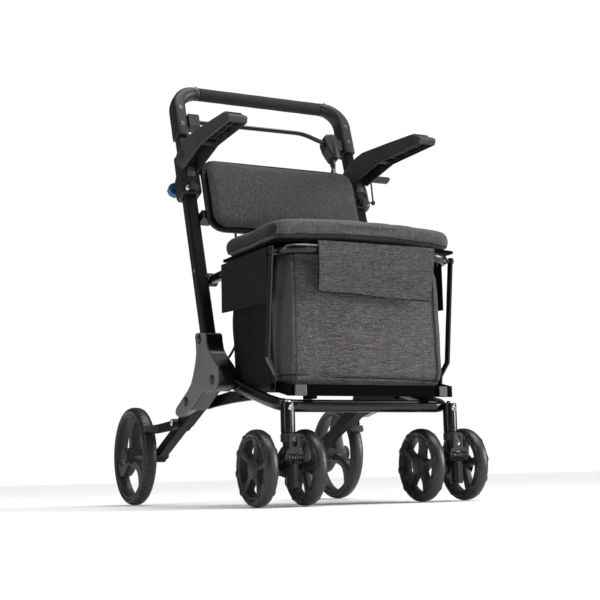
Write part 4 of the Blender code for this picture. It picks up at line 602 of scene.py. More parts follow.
def swept(path, section, across, closed=False):
    """Rings of a section (u, v) carried along a path; across is the direction that u starts in."""
    rings = []
    u = Vector(across)
    for index, point in enumerate(path):
        before = after = None
        if closed or index:
            before = (point - path[index - 1]).normalized()
        if closed or index < len(path) - 1:
            after = (path[(index + 1) % len(path)] - point).normalized()
        tangent = ((before or after) + (after or before)).normalized()
        u = (u - tangent * u.dot(tangent)).normalized()
        v = tangent.cross(u)
        rings.append([point + u * a + v * b for a, b in section])
    return rings


def tube(name, path, radius, across=UP, count=8, closed=False):
    return skin(name, swept(path, circle(radius, count), across, closed), closed)


def plate(name, outline, low, high, edge=0.0006, plane="x", segments=2):
    """Outline pushed from low to high along x or y, with rounded edges."""
    rings = [[(value, a, b) if plane == "x" else (a, value, b) for a, b in outline] for value in (low, high)]
    obj = tidy(skin(name, rings))
    return softened(obj, edge, segments, 40.0) if edge else obj


def both_ways(half_section):
    """Half a section, up to its middle, and its mirror image after it."""
    return half_section + [(radius, -along) for radius, along in reversed(half_section) if along]


def mast_point(x, d, s):
    return Vector((x, MAST_FOOT_Y + s * sin(LEAN) + d * cos(LEAN), s * cos(LEAN) - d * sin(LEAN)))


MAST = Matrix.Translation((0.0, MAST_FOOT_Y, 0.0)) @ Matrix.Rotation(-LEAN, 4, "X")
MAST_FRONT = mast_point(0.0, -1.0, 0.0) - mast_point(0.0, 0.0, 0.0)


def leg_point(along, across):
    """Point (y, z) beside the line from the frame's pivot to the rear axle."""
    run, drop = REAR_WHEEL[1] - PIVOT_B[0], REAR_WHEEL[2] - PIVOT_B[1]
    along_y, along_z = run / hypot(run, drop), drop / hypot(run, drop)
    return (PIVOT_B[0] + along * along_y - across * along_z, PIVOT_B[1] + along * along_z + across * along_y)


# Fasteners
def facing(place, toward):
    """Matrix that stands what is drawn along +Z at a place, turned toward a direction."""
    turn = Vector(UP).rotation_difference(Vector(toward)).to_matrix().to_4x4()
    return Matrix.Translation(place) @ turn


def screw_head(name, radius, height, place, toward, socket=0.5, recess=0.6):
    """Button head with a hexagon socket's recess, its top facing toward."""
    floor = height * (1 - recess)
    section = [(radius, 0.0), (radius, height * 0.35), (radius * 0.9, height * 0.75),
               (radius * 0.68, height), (radius * socket, height), (radius * socket, floor), (0.0, floor),
               (0.0, 0.0)]
    head = spun(name, section, axis="z", count=24)
    head.data.transform(facing(place, toward))
    return head


def ringed_bolt(name, place, out, ring, head, height):
    """Washer ring with a socket head in it."""
    lip = height * 0.62
    section = [(ring, 0.0), (ring, height * 0.45), (ring * 0.93, lip), (head * 1.1, lip), (head * 1.1, 0.0)]
    seat = spun("washer", section, axis="z", count=32)
    seat.data.transform(facing(place, out))
    return joined(name, seat, screw_head("head", head, height, place, out, 0.52, 0.75))


def screw(name, body, finish, slot, *head):
    """Screw head on a body; head is all that screw_head takes after the name."""
    dress(screw_head(name, *head), body, finish, slot)


# Wheels
def tyre_section(radius, inner, half):
    """Round-shouldered tyre section, widest near its middle."""
    shape = ((0.66, 0.0), (0.86, 0.06), (0.97, 0.22), (1.0, 0.42), (0.95, 0.6), (0.82, 0.77), (0.6, 0.905),
             (0.32, 0.98), (0.0, 1.0))
    return both_ways([(inner + (radius - inner) * reach, -half * along) for along, reach in shape])


def lugged_tyre(name, centre, radius, inner, half, count, pitch, gap, depth):
    """Tyre with its shoulders cut into blocks: grooves are pushed in between them."""
    def in_groove(face):
        middle = face.calc_center_median() - centre
        turn = (Vector((middle.y, middle.z)).angle_signed(Vector((1.0, 0.0))) + pi) / (2 * pi) * pitch
        share = (turn + (0.5 if middle.x > 0 else 0.0) + abs(middle.x) / half * 0.35) % 1.0
        shoulder = 0.3 * half < abs(middle.x) < 0.93 * half and hypot(middle.y, middle.z) > radius * 0.885
        return shoulder and share < gap

    tyre = tidy(spun(name, tyre_section(radius, inner, half), centre, "x", count))
    with editing(tyre):
        choose_faces(tyre, in_groove)
        bpy.ops.mesh.inset(thickness=0.0004, use_individual=False)
        bpy.ops.transform.shrink_fatten(value=-depth)
        bpy.ops.mesh.select_mode(type="VERT")
    return tyre


def spokes(name, centre, count, phase, steps, section):
    """Equal spokes round an axle; section(share) is one cross-section on the way from the hub out."""
    made = []
    for index in range(count):
        spoke = skin(name, [section(step / steps) for step in range(steps + 1)])
        turn = Matrix.Rotation(2 * pi * index / count + phase, 4, "X")
        spoke.data.transform(Matrix.Translation(centre) @ turn @ Matrix.Translation(-centre))
        made.append(spoke)
    return made


def rear_wheel():
    """Right-hand rear tyre and rim, drawn in place."""
    centre = Vector(REAR_WHEEL)
    cap, inner = 0.2625 - centre.x, 0.1985 - centre.x

    def spoke_section(share):
        swing = 0.34 * sin(pi * share) * (1 - 0.25 * share)
        wide = 0.012 - 0.003 * sin(pi * min(1.0, share * 1.25)) + 0.0076 * share ** 3
        thick = 0.0128 - 0.0022 * share
        spot = centre + Vector((0.0, sin(swing), cos(swing))) * (0.012 + (0.084 - 0.012) * share)
        across = Vector((0.0, cos(swing), -sin(swing)))
        ring = []
        for a, b in rounded_rect(wide, thick, 0.0042, steps=4):
            dish = 0.002 * (1 - (a / wide) ** 2) * (1 if b > 0 else 0.3)
            ring.append(spot + across * a + Vector((0.0002 * share - 0.0006 + b - dish, 0.0, 0.0)))
        return ring

    tyre = lugged_tyre("rear_tyre", centre, radius=0.1, inner=0.0875, half=0.0137, count=150, pitch=50,
                       gap=0.34, depth=0.0008)
    bead = ((0.0868, 0.012), (0.0868, 0.0134), (0.089, 0.0142), (0.0902, 0.0128))
    band = both_ways([(0.0872, 0.0122), (0.0858, 0.0131), (0.0836, 0.0131), (0.0822, 0.0118),
                      (0.0812, 0.006), (0.0806, 0.0)])
    hub = [(0.0056, cap - 0.01), (0.0056, inner), (0.0128, inner), (0.015, inner + 0.003),
           (0.0158, inner + 0.012), (0.0172, -0.002), (0.0176, 0.006), (0.017, cap - 0.01),
           (0.015, cap - 0.0085), (0.015, cap - 0.006), (0.016, cap - 0.0055), (0.0158, cap - 0.0018),
           (0.014, cap), (0.008, cap + 0.0004), (0.0075, cap - 0.0012), (0.0, cap - 0.0012),
           (0.0, cap - 0.01)]
    rim = [spun("rim_band", band, centre, "x", 120), spun("rim_hub", hub, centre, "x", 48)]
    rim += spokes("rim_spoke", centre, 3, 0.28, 14, spoke_section)
    notch_outline = rounded_rect(0.0014, 0.001, 0.0004, steps=2)
    for index in range(12):
        notch = plate("cap_notch", notch_outline, cap - 0.0052, cap - 0.002, 0.0003)
        turn = Matrix.Rotation(2 * pi * index / 12, 4, "X")
        notch.data.transform(Matrix.Translation(centre) @ turn @ Matrix.Translation((0.0, 0.0, 0.0158)))
        rim.append(notch)
    return joined("rear_tyre", tyre, *spun_pair("bead", bead, centre, 96)), joined("rear_rim", *rim)


def front_wheel():
    """Front tyre and hub round the origin, outer face to +X."""
    centre = Vector(ORIGIN)

    def spoke_section(share):
        belly = sin(pi * share)
        wide = 0.0066 - 0.0006 * belly + 0.0026 * share ** 4 + 0.0012 * (1 - share) ** 4
        reach = 0.011 + (0.0496 - 0.011) * share
        return [(b - 0.0012 * belly, a, reach)
                for a, b in rounded_rect(wide, 0.0092 - 0.0012 * belly, 0.0038, steps=4)]

    pieces = [lugged_tyre("front_tyre", centre, radius=FRONT_RADIUS, inner=0.053, half=0.012, count=120,
                          pitch=40, gap=0.2, depth=0.0005)]
    for side, _ in SIDES:
        for index in range(10):
            alone()
            bpy.ops.mesh.primitive_uv_sphere_add(segments=24, ring_count=12, radius=0.0064)
            dome = bpy.context.object
            turn = Matrix.Rotation(2 * pi * (index + 0.5 - side * 0.25) / 10, 4, "X")
            place = Matrix.Translation((side * 0.0106, 0.0, 0.0562)) @ Matrix.Rotation(side * 0.22, 4, "Y")
            dome.data.transform(turn @ place @ Matrix.Diagonal((0.44, 1.3, 0.95, 1.0)))
            pieces.append(dome)
    band = both_ways([(0.053, 0.0098), (0.0518, 0.0108), (0.05, 0.0108), (0.0488, 0.0098), (0.0478, 0.004),
                      (0.0474, 0.0)])
    core = [(0.0046, 0.009), (0.0046, -0.012), (0.0125, -0.012), (0.014, -0.009), (0.0136, 0.006),
            (0.0184, 0.0066), (0.0188, 0.008), (0.018, 0.009), (0.0152, 0.0106), (0.011, 0.0119),
            (0.006, 0.0126), (0.0, 0.0128), (0.0, 0.009)]
    hub = [spun("hub_band", band, centre, "x", 96), spun("hub_core", core, centre, "x", 48)]
    hub += spokes("hub_spoke", centre, 5, 0.2, 10, spoke_section)
    return joined("front_tyre", *pieces), joined("front_hub", *hub)


def place_wheel(tyre, middle, kind, part, word, move):
    """Copies of a tyre and of its rim or hub, dressed for one wheel."""
    rubber = twin(tyre, f"{kind}_tyre_{word}_rubber", move)
    dress(rubber, f"{kind}_wheel_{word}", tyre_rubber, "tyre", f"{kind}_tyre_{word}", angle=30.0)
    plastic = twin(middle, f"{kind}_{part}_{word}_plastic", move)
    dress(plastic, f"{kind}_wheel_{word}", wheel_grey, "wheel_plastic", f"{kind}_{part}_{word}", angle=40.0)


def place_wheels():
    tyre, rim = rear_wheel()
    front_tyre, hub = front_wheel()
    for side, word in SIDES:
        place_wheel(tyre, rim, "rear", "rim", word, MIRROR if side < 0 else Matrix())
        for turn, wheel_word in ((1, "b"), (-1, "a")):
            x = side * CASTER_X + turn * FRONT_WHEEL_REACH
            move = Matrix.Translation((x, FRONT_AXLE_Y, FRONT_RADIUS)) @ (MIRROR if turn < 0 else Matrix())
            place_wheel(front_tyre, hub, "front", "hub", f"{word}_{wheel_word}", move)
    for obj in (tyre, rim, front_tyre, hub):
        bpy.data.objects.remove(obj)


# Frame tubes
def lower_frame_tube():
    half = [(0.166, y + SHIFT, z, radius) for y, z, radius in (
        (-0.05, 0.24, 0.0), (-0.14, 0.211, 0.15), (-0.245, 0.184, 0.15), (-0.304, 0.171, 0.04))]
    corners = half + [(-x, y, z, radius) for x, y, z, radius in reversed(half)]
    eye = [(0.0145 * cos(radians(turn)), 0.0145 * sin(radians(turn))) for turn in range(104, -105, -13)]
    strut = rounded([(PIVOT_B[0] + y, PIVOT_B[1] + z, 0.0) for y, z in eye] + [
        (y + SHIFT, z, radius) for y, z, radius in (
            (-0.01, 0.1862, 0.004), (-0.087, 0.1885, 0.01), (-0.172, 0.1885, 0.004), (-0.185, 0.196, 0.002),
            (-0.15, 0.206, 0.004), (-0.086, 0.2115, 0.01), (-0.026, 0.208, 0.006))], 4)
    tab = rounded_rect(0.009, 0.01, 0.003, (-0.139 + SHIFT, 0.205), 3)
    post = [(0.0063, 0.124), (0.0119, 0.124), (0.0125, 0.1248), (0.0125, 0.1735), (0.0118, 0.1757),
            (0.01, 0.1765), (0.0, 0.1765), (0.0, 0.1705), (0.0063, 0.1705)]
    inner_x, outer_x = 0.162, 0.168
    pieces = [tube("frame_tube", bent(corners, 12), 0.011, UP, 28)]
    for side, _ in SIDES:
        pieces.append(sided(plate("frame_strut", strut, inner_x, outer_x, 0.0009), side))
        pieces.append(sided(plate("frame_tab", tab, inner_x, outer_x, 0.0008), side))
        pieces.append(sided(spun("caster_post", post, (CASTER_X, SWIVEL_Y, 0.0), "z", 36), side))
    dress(joined("lower_frame_tube", *pieces), "front_frame", frame_black, "black_frame", "lower_frame")


def lower_frame_screws():
    """Bolts on top of and in front of each caster post, and a screw on the tube's rising part."""
    for side, word in SIDES:
        x = side * CASTER_X
        screw(f"post_bolt_{word}", "front_frame", steel_bright, "bright_steel", 0.0058, 0.0042,
              (x, SWIVEL_Y, 0.1763), UP, 0.55)
        screw(f"post_cross_bolt_{word}", "front_frame", steel_bright, "bright_steel", 0.0052, 0.0034,
              (x, SWIVEL_Y - 0.0122, 0.166), (0, -1, 0))
        screw(f"tube_screw_{word}", "front_frame", steel_black, "black_frame", 0.0042, 0.0024,
              (side * 0.1745, -0.14 + SHIFT, 0.214), (side * 0.8, 0.0, 0.6))


def seat_rail_tube():
    half, (rear_y, rear_z), front_y, cross_y = 0.17, PIVOT_A, -0.335 + SHIFT, -0.085 + SHIFT
    corners = [(-half, rear_y - 0.004, rear_z, 0.0), (-half, front_y, 0.441, 0.045),
               (half, front_y, 0.441, 0.045), (half, rear_y - 0.004, rear_z, 0.0)]
    cross = [Vector((-0.168, cross_y, 0.4385)), Vector((0.168, cross_y, 0.4385))]
    boss = [(0.0053, 0.16), (0.0118, 0.16), (0.013, 0.1612), (0.013, 0.1798), (0.012, 0.1809),
            (0.0053, 0.1809)]
    pin = [(0.0, 0.17), (0.004, 0.17), (0.004, 0.1873), (0.0062, 0.1873), (0.0066, 0.1878), (0.006, 0.1893),
           (0.0036, 0.1899), (0.0, 0.1899)]
    pieces = [tube("rail_tube", bent(corners, 14), 0.0095, UP, 26)]
    pieces.append(tube("rail_cross", cross, 0.0075, UP, 24))
    for side, _ in SIDES:
        pieces.append(sided(spun("rail_boss", boss, (0.0, *PIVOT_A), "x", 36), side))
        pieces.append(sided(spun("bar_pin", pin, (0.0, *PIVOT_C)), side))
    dress(joined("seat_rail_tube", *pieces), "seat_frame", frame_black, "black_frame", "seat_rail")


def side_bars():
    """Flat bars with a joggle, so that the foot stands further in than the top."""
    down = Vector((0.0, *PIVOT_D)) - Vector((0.0, *PIVOT_C))
    length = down.length
    down.normalize()
    top, foot = Vector((0.185, *PIVOT_C)), Vector((0.17, *PIVOT_D))
    path = [top + down * reach for reach in (-0.0065, 0.004, length - 0.052, length - 0.048)]
    path += [foot + down * reach for reach in (-0.022, -0.018, 0.0065)]
    section = rounded_rect(0.002, 0.0065, 0.0009, steps=3)
    for side, word in SIDES:
        bar = skin(f"side_bar_{word}_steel", swept(path, section, RIGHT))
        dress(sided(bar, side), f"side_bar_{word}", frame_black, "black_frame", f"side_bar_{word}")


# Handle
def handle_grip():
    ends = [(0.009, -0.1417), (0.0125, -0.1417), (0.0135, -0.1405)]
    ripple = [(0.0135 + 0.00012 * sin(9 * pi * step / 40), -0.1395 + 0.279 * step / 40)
              for step in range(41)]
    section = ends + ripple + [(radius, -along) for radius, along in reversed(ends)]
    grip = spun("handle_grip_foam", section, mast_point(0.0, 0.0, GRIP_S), "x", 40)
    dress(grip, "handle", grip_foam, "grip_foam", "grip")


def elbow_shell():
    """Right-hand elbow: a flat upright with a grooved foot that turns into a round end."""
    bend, half_x, half_d, corner = 0.045, 0.013, 0.018, 0.006
    top = GRIP_S - bend
    rings = []
    for s, inset in ((0.772, 0.001), (0.7728, 0.0002), (0.774, 0.0), (0.7955, 0.0), (0.7962, 0.0006),
                     (0.7972, 0.0006), (0.7979, 0.0), (0.818, 0.0), (top, 0.0)):
        outline = rounded_rect(half_x - inset, half_d - inset, corner, (MAST_X, 0.0), 4)
        rings.append([(x, d, s) for x, d in outline])
    for step in range(1, 17):
        share = step / 16
        angle = pi / 2 * share
        outline = rounded_rect(half_x + 0.001 * share, half_d - 0.004 * share, corner + 0.008 * share,
                               steps=4)
        rings.append([(MAST_X - bend + (bend + a) * cos(angle), d, top + (bend + a) * sin(angle))
                      for a, d in outline])
    for x, radius in ((0.1432, 0.014), (0.1424, 0.0136), (0.142, 0.0128), (0.142, 0.0088), (0.118, 0.0088)):
        rings.append([(x, d, GRIP_S + a) for a, d in rounded_rect(radius, radius, radius, steps=4)])
    shell = skin("elbow_shell", rings)
    shell.data.transform(MAST)
    return shell


def handle_elbows():
    for side, word in SIDES:
        shell = sided(elbow_shell(), side)
        shell.name = f"elbow_{word}_shell"
        dress(shell, "handle", plastic_black, "black_plastic", f"elbow_{word}", angle=38.0)
        places = ((0.1514, -0.0148, 0.889), (MAST_X, -0.0178, 0.836), (MAST_X, -0.0178, 0.798))
        screws = [ringed_bolt("elbow_screw", mast_point(side * x, d, s), MAST_FRONT, 0.0044, 0.003, 0.0014)
                  for x, d, s in places]
        dress(joined(f"elbow_screws_{word}", *screws), "handle", steel_grey, "black_frame")


def brake_lever_housing():
    """Bell-shaped housing on the right elbow: bulge, upright barrel, nozzle, flange and a closed front."""
    s = BAR_S
    bulge = rounded([(x, s + rise, radius) for x, rise, radius in (
        (0.133, -0.013, 0.012), (0.1385, 0.004, 0.006), (0.164, 0.0045, 0.006), (0.1655, -0.05, 0.006),
        (0.1565, -0.0565, 0.005), (0.147, -0.054, 0.007), (0.136, -0.031, 0.018))], 8)
    slot = [(0.11, s - 0.024), (0.151, s - 0.024), (0.151, s - 0.0012), (0.11, s - 0.0012)]
    arm = [(0.16, s - 0.0285), (0.18, s - 0.0285), (0.18, s - 0.0035), (0.16, s - 0.0035)]
    barrel = [(0.0, -0.0535), (0.007, -0.0535), (0.0095, -0.05), (0.0105, -0.046), (0.0105, -0.001),
              (0.0096, 0.003), (0.007, 0.0052), (0.0, 0.0058)]
    nozzle = [(0.0, -0.0775), (0.0038, -0.0775), (0.0044, -0.0765), (0.0052, -0.07), (0.006, -0.069),
              (0.0064, -0.06), (0.0075, -0.052), (0.0, -0.052)]
    ferrule = [(0.0, -0.089), (0.003, -0.089), (0.0034, -0.088), (0.0034, -0.084), (0.0042, -0.083),
               (0.0042, -0.0776), (0.0, -0.0776)]
    body = plate("bulge", bulge, -0.0205, 0.01, 0.0036, "y", 4)
    cut_out(body, plate("slot", slot, -0.0176, -0.0064, 0.0, "y"))
    shell = joined("brake_lever_housing", body, spun("barrel", barrel, (0.154, -0.012, s), "z", 32),
                   spun("nozzle", nozzle, (0.1483, -0.008, s), "z"),
                   plate("flange", arm, -0.012, 0.008, 0.0015, "y"))
    tip = spun("cable_ferrule", ferrule, (0.1478, -0.008, s), "z")
    for piece in (shell, tip):
        piece.data.transform(MAST)
    dress(shell, "handle", plastic_black, "black_plastic", "brake_housing", angle=40.0)
    dress(tip, "handle", steel_bright, "bright_steel")


# Seat cushion and backrest pad
def across_share(x):
    """One in the middle of the cushion, nothing at its sides."""
    return 1 - (x / CUSHION_HALF) ** 2


def arch(x):
    return 0.008 * across_share(x)


def pad_section(half, low, high, crown, corner, fine=16):
    """Closed section of a pad: flat below, rounded edges, crowned above."""
    middle = (low + high) / 2
    edge = [(half - corner * 0.15, low + (middle - low) * 0.45), (half, middle),
            (half - corner * 0.15, high - (high - middle) * 0.45)]
    points = [(-half + corner + (2 * half - 2 * corner) * step / fine, low) for step in range(fine + 1)]
    points += edge
    for step in range(fine + 1):
        x = (half - corner) * (1 - 2 * step / fine)
        points.append((x, high + crown * (1 - (x / half) ** 2)))
    return points + [(-x, rise) for x, rise in reversed(edge)]


def pad_stations(length, corner, soft, count=23):
    """Along a pad: share of its length, how far its corners draw in, and how full it is."""
    for step in range(count):
        share = 0.5 - 0.5 * cos(pi * step / (count - 1))
        into = min(share, 1 - share) * length
        drawn = corner - sqrt(corner ** 2 - (corner - into) ** 2) if into < corner else 0.0
        yield share, drawn, sqrt(1 - (1 - min(1.0, into / soft)) ** 2)


def cushion_block(shrink):
    """Seat cushion before it is filled: arched over the board and bowed at the front."""
    back_y = CUSHION_BACK_Y - shrink
    length = back_y - CUSHION_FRONT_Y - shrink
    depth = CUSHION_DEPTH - 2 * shrink
    middle = CUSHION_BASE_Z + CUSHION_DEPTH / 2
    rings = []
    for share, drawn, full in pad_stations(length, CUSHION_CORNER, 0.012):
        half = CUSHION_HALF - shrink - 0.002 * sin(pi * share) - drawn
        rise = depth / 2 * (0.45 + 0.55 * full)
        crown = 0.0045 * sin(pi * share)
        rings.append([(x, back_y - length * share - CUSHION_BOW * share * across_share(x), z + arch(x))
                      for x, z in pad_section(half, middle - rise, middle + rise, crown, 0.01)])
    return skin("seat_cushion_pad", rings)


def back_block(shrink):
    """Backrest pad before it is filled, on the shell's face."""
    inset = PAD_BORDER + shrink
    low_s, high_s = PAD_LOW_S + inset, PAD_HIGH_S - inset
    rings = []
    for share, drawn, full in pad_stations(high_s - low_s, 0.032, 0.014):
        width = PAD_HALF - inset - 0.0015 * sin(pi * share) - drawn
        thick = 0.0155 * (0.35 + 0.65 * full) - shrink
        rings.append([mast_point(x, PAD_BACK_D - rise, low_s + (high_s - low_s) * share)
                      for x, rise in pad_section(width, 0.0, thick, 0.0045 * sin(pi * share), 0.009)])
    return skin("backrest_pad_cover", rings)


def puffed(obj, voxel, pressure, most, hold):
    """Cloth under air pressure over a remeshed block; hold(point) keeps it off its neighbours."""
    applied(tidy(obj), "REMESH", mode="VOXEL", voxel_size=voxel)
    rest = [vertex.co.copy() for vertex in obj.data.vertices]
    cloth = obj.modifiers.new("cover", "CLOTH")
    cloth.settings.quality = 6
    cloth.settings.mass = 0.2
    cloth.settings.use_pressure = True
    cloth.settings.uniform_pressure_force = pressure
    cloth.settings.tension_stiffness = cloth.settings.compression_stiffness = 18.0
    cloth.settings.shear_stiffness = 8.0
    cloth.settings.bending_stiffness = 0.8
    cloth.settings.effector_weights.gravity = 0.0
    cloth.point_cache.frame_start, cloth.point_cache.frame_end = 1, 20
    for step in range(1, 21):
        bpy.context.scene.frame_set(step)
    bpy.ops.object.modifier_apply(modifier=cloth.name)
    bpy.context.scene.frame_set(1)
    for vertex, before in zip(obj.data.vertices, rest):
        change = vertex.co - before
        if change.length > most:
            change *= most / change.length
        vertex.co = hold(before + change)
    applied(obj, "SUBSURF", levels=1, render_levels=1)


def above_board(point):
    """Keep the cushion between the seat board and its full height."""
    lowest = CUSHION_BASE_Z + 0.0003 + arch(point.x)
    return Vector((point.x, point.y, min(CUSHION_TOP_Z, max(lowest, point.z))))


def before_shell(point):
    """Keep the pad in front of the shell's face."""
    d = (point.y - MAST_FOOT_Y) * cos(LEAN) - point.z * sin(LEAN)
    return point + MAST_FRONT * max(0.0, d - PAD_BACK_D)


def laid_on(obj, path, proud):
    """Path moved to the piece's nearest surface, standing proud of it."""
    surface = []
    for point in path:
        found, spot, normal, _ = obj.closest_point_on_mesh(point)
        surface.append(spot + normal * proud if found else point)
    return surface


def cushion_seam(cushion):
    """Seam round the cushion, just above its base."""
    inset, rise, spacing = 0.0016, 0.0022, 0.012
    back_y, front_y = CUSHION_BACK_Y - inset, CUSHION_FRONT_Y + inset
    outline = rounded_rect(CUSHION_HALF - inset, (back_y - front_y) / 2, CUSHION_CORNER,
                           (0.0, (back_y + front_y) / 2), 8)
    path = []
    for (x, y), (after_x, after_y) in zip(outline, outline[1:] + outline[:1]):
        count = max(1, round(hypot(after_x - x, after_y - y) / spacing))
        for step in range(count):
            px, py = x + (after_x - x) * step / count, y + (after_y - y) * step / count
            bow = CUSHION_BOW * (back_y - py) / (back_y - front_y) * across_share(px)
            path.append(Vector((px, py - bow, CUSHION_BASE_Z + rise + arch(px))))
    seam = tube("cushion_lower_seam", laid_on(cushion, path, 0.0002), 0.0008, closed=True)
    dress(seam, "seat_lid", thread, "seat_fabric")


def seat_pads():
    cushion = cushion_block(0.0022)
    puffed(cushion, 0.005, 4.0, 0.004, above_board)
    dress(cushion, "seat_lid", seat_cloth, "seat_fabric", "seat_cushion", angle=60.0)
    # The cushion's ends take the dark copy of its cloth: painted shade
    cushion.data.materials.append(shaded_side_band_cloth)
    for face in cushion.data.polygons:
        face.material_index = 1 if abs(face.normal.x) > 0.72 and abs(face.center.x) > 0.17 else 0
    cushion_seam(cushion)
    pad = back_block(0.0018)
    puffed(pad, 0.0045, 4.0, 0.0035, before_shell)
    dress(pad, "base", back_cloth, "seat_fabric", "backrest_pad", angle=60.0)


# Bag and flaps
def bag_outline(z, front_count=BAG_FRONT_COUNT, side_count=BAG_SIDE_COUNT):
    """Ring of the bag at a height, as (place, outward, share, panel) all round.

    The panels are front 0, corner 1, side 2, back 3, side 4 and corner 5.
    """
    rise = min(1.0, max(0.0, (z - BAG_FOOT_Z) / (0.418 - BAG_FOOT_Z)))
    neck = 0.016 * max(0.0, (z - BAG_NECK_Z) / (BAG_TOP_Z - BAG_NECK_Z)) ** 1.5
    front_half = BAG_FRONT_HALF - neck * 0.3
    back_half = 0.16 + 0.0045 * sin(pi * rise) - neck * 0.4
    front, back, corner_reach, corner_count = -0.308 + SHIFT + neck * 0.7, -0.0961 + SHIFT, 0.04, 12
    ring = []

    def straight(a, b, count, panel):
        side = (Vector(b) - Vector(a)).normalized()
        outward = Vector((side.y, -side.x))
        for step in range(count):
            ring.append((Vector(a).lerp(Vector(b), step / count), outward, step / count, panel))

    def corner(side, panel):
        for step in range(corner_count):
            share = step / corner_count
            turn = pi / 2 * (share if side > 0 else 1 - share)
            place = Vector((side * (front_half + (back_half - front_half) * sin(turn)),
                            front + corner_reach * (1 - cos(turn))))
            ring.append((place, Vector((side * sin(turn), -cos(turn))), share, panel))

    straight((-front_half, front), (front_half, front), front_count, 0)
    corner(1, 1)
    straight((back_half, front + corner_reach), (back_half, back), side_count, 2)
    straight((back_half, back), (-back_half, back), front_count // 2, 3)
    straight((-back_half, back), (-back_half, front + corner_reach), side_count, 4)
    corner(-1, 5)
    return ring


def foot_height(place):
    """The foot seam sags a little towards the right."""
    x = max(-BAG_FRONT_HALF, min(BAG_FRONT_HALF, place.x))
    return BAG_FOOT_Z - 0.023 * x + 0.0008 * sin(30.0 * place.x)


def waves(place, z, across, up, lean=0.0):
    """Smooth noise in folds of a given fineness across the cloth and up it."""
    return noise.noise(Vector((place.x * across, place.y * across, z * up + lean * place.x)))


def bag_surface(place, out, share, panel, z):
    """Point of the bag's cloth: belly, foot seam, soft folds and the roll below the seam."""
    foot = foot_height(place)
    rise = min(1.0, max(0.0, (z - foot) / (BAG_TOP_Z - foot)))
    fullness = (0.0105, 0.0036, 0.0014, -0.003, 0.0014, 0.0042)[panel]
    across = sin(pi * share) ** 0.7 if panel in (0, 3) else 0.6
    belly = fullness * across * sin(pi * rise) ** 0.55 * (1.0 - 0.25 * rise)
    if panel in (0, 1, 2) and place.x > 0.0:
        lean = (place.x / BAG_FRONT_HALF) ** 6 if panel == 0 else max(0.0, 1 - (place.y + 0.306) / 0.1)
        swing = 0.007 * min(1.0, lean) * (1 - rise) ** 1.2 * min(1.0, 8 * rise + 0.4)
        place = place + Vector((swing, 0.0))
    low = max(0.0, 1 - abs(z - foot) / 0.026)
    soft = 0.0021 * waves(place, z, 9.0, 21.0) + 0.0008 * waves(place, z, 24.0, 34.0, 3.0)
    soft += 0.0013 * low * waves(place, z, 62.0, 12.0)
    seam = 0.0026 * max(0.0, 1 - abs(z - foot) / 0.0034)
    under = 0.0095 * max(0.0, 1 - (z - BAG_FLOOR_Z) / 0.0085) ** 2
    reach = belly + soft - seam - under
    if panel in (2, 4):
        reach = min(reach, 0.003)
    if panel == 3:
        reach = min(reach, 0.0)
    return Vector((place.x + out.x * reach, place.y + out.y * reach, z))


def gathered(obj):
    """Gives the piece its own copy of its mesh."""
    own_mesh(obj)


def bag_shell():
    """Open cloth bag: panels that belly out, creased at the foot, with a thickness and a floor."""
    heights = [BAG_FLOOR_Z + rise for rise in (0.0, 0.0006, 0.002, 0.0042, 0.0068, 0.0092, 0.011, 0.012)]
    heights += [heights[-1] + (BAG_TOP_Z - heights[-1]) * (step / 56) for step in range(1, 57)]
    bag = skin("bag_cloth", [[bag_surface(*spot, z) for spot in bag_outline(z)] for z in heights])
    with editing(bag):
        choose_faces(bag, lambda face: len(face.verts) > 8 and face.calc_center_median().z > 0.4)
        bpy.ops.mesh.delete(type="FACE")
        bpy.ops.mesh.select_mode(type="VERT")
    applied(tidy(bag), "SOLIDIFY", thickness=0.0024, offset=-1.0)
    dress(bag, "seat_frame", bag_cloth, "bag_fabric", "bag", angle=50.0)
    bag.data.materials.append(shaded_corner_cloth)
    bag.data.materials.append(shaded_lining_cloth)
    # Front faces take the front cloth. The front corners take its darker copy, and the sides, back and inside
    # take near-black cloth; both are painted shade
    for face in bag.data.polygons:
        ahead = face.center.y < -0.264
        outside = face.normal.dot(Vector((face.center.x, face.center.y + 0.2, 0.0))) > 0.0
        front = abs(face.center.x) < 0.1475 and face.normal.y < -0.25
        face.material_index = (0 if front else 1) if ahead and outside else 2
    gathered(bag)


def bag_trim():
    """Piping down the front corners and round the foot."""
    low, high = BAG_FLOOR_Z + 0.007, 0.437
    for index, word in ((BAG_FRONT_COUNT, "right"), (0, "left")):
        path = []
        for step in range(44):
            z = low + (high - low) * step / 43
            path.append(bag_surface(*bag_outline(z)[index], z) + Vector((0.0, -0.0003, 0.0)))
        cord = tube(f"bag_corner_piping_{word}", path, 0.0014, RIGHT)
        dress(cord, "seat_frame", edge_cloth, "bag_fabric")
        gathered(cord)
    path = [bag_surface(*spot, foot_height(spot[0])) for spot in bag_outline(BAG_FOOT_Z, 60, 24)]
    foot = tube("bag_foot_piping", path, 0.0014, closed=True)
    dress(foot, "seat_frame", thread, "bag_fabric")
    gathered(foot)


def hanging_flap(name, width_top, width_low, height, columns, rows, bend):
    """Sheet drawn flat in x and z from its top edge, bent by bend(across, down), with a thickness."""
    alone()
    bpy.ops.mesh.primitive_grid_add(x_subdivisions=columns, y_subdivisions=rows, size=1.0)
    flap = bpy.context.object
    flap.name = flap.data.name = name
    for vertex in flap.data.vertices:
        across, down = vertex.co.x, 0.5 - vertex.co.y
        width = width_top + (width_low - width_top) * down
        vertex.co = (across * width, bend(across, down), -height * down)
    return applied(flap, "SOLIDIFY", thickness=0.0018, offset=0.0)


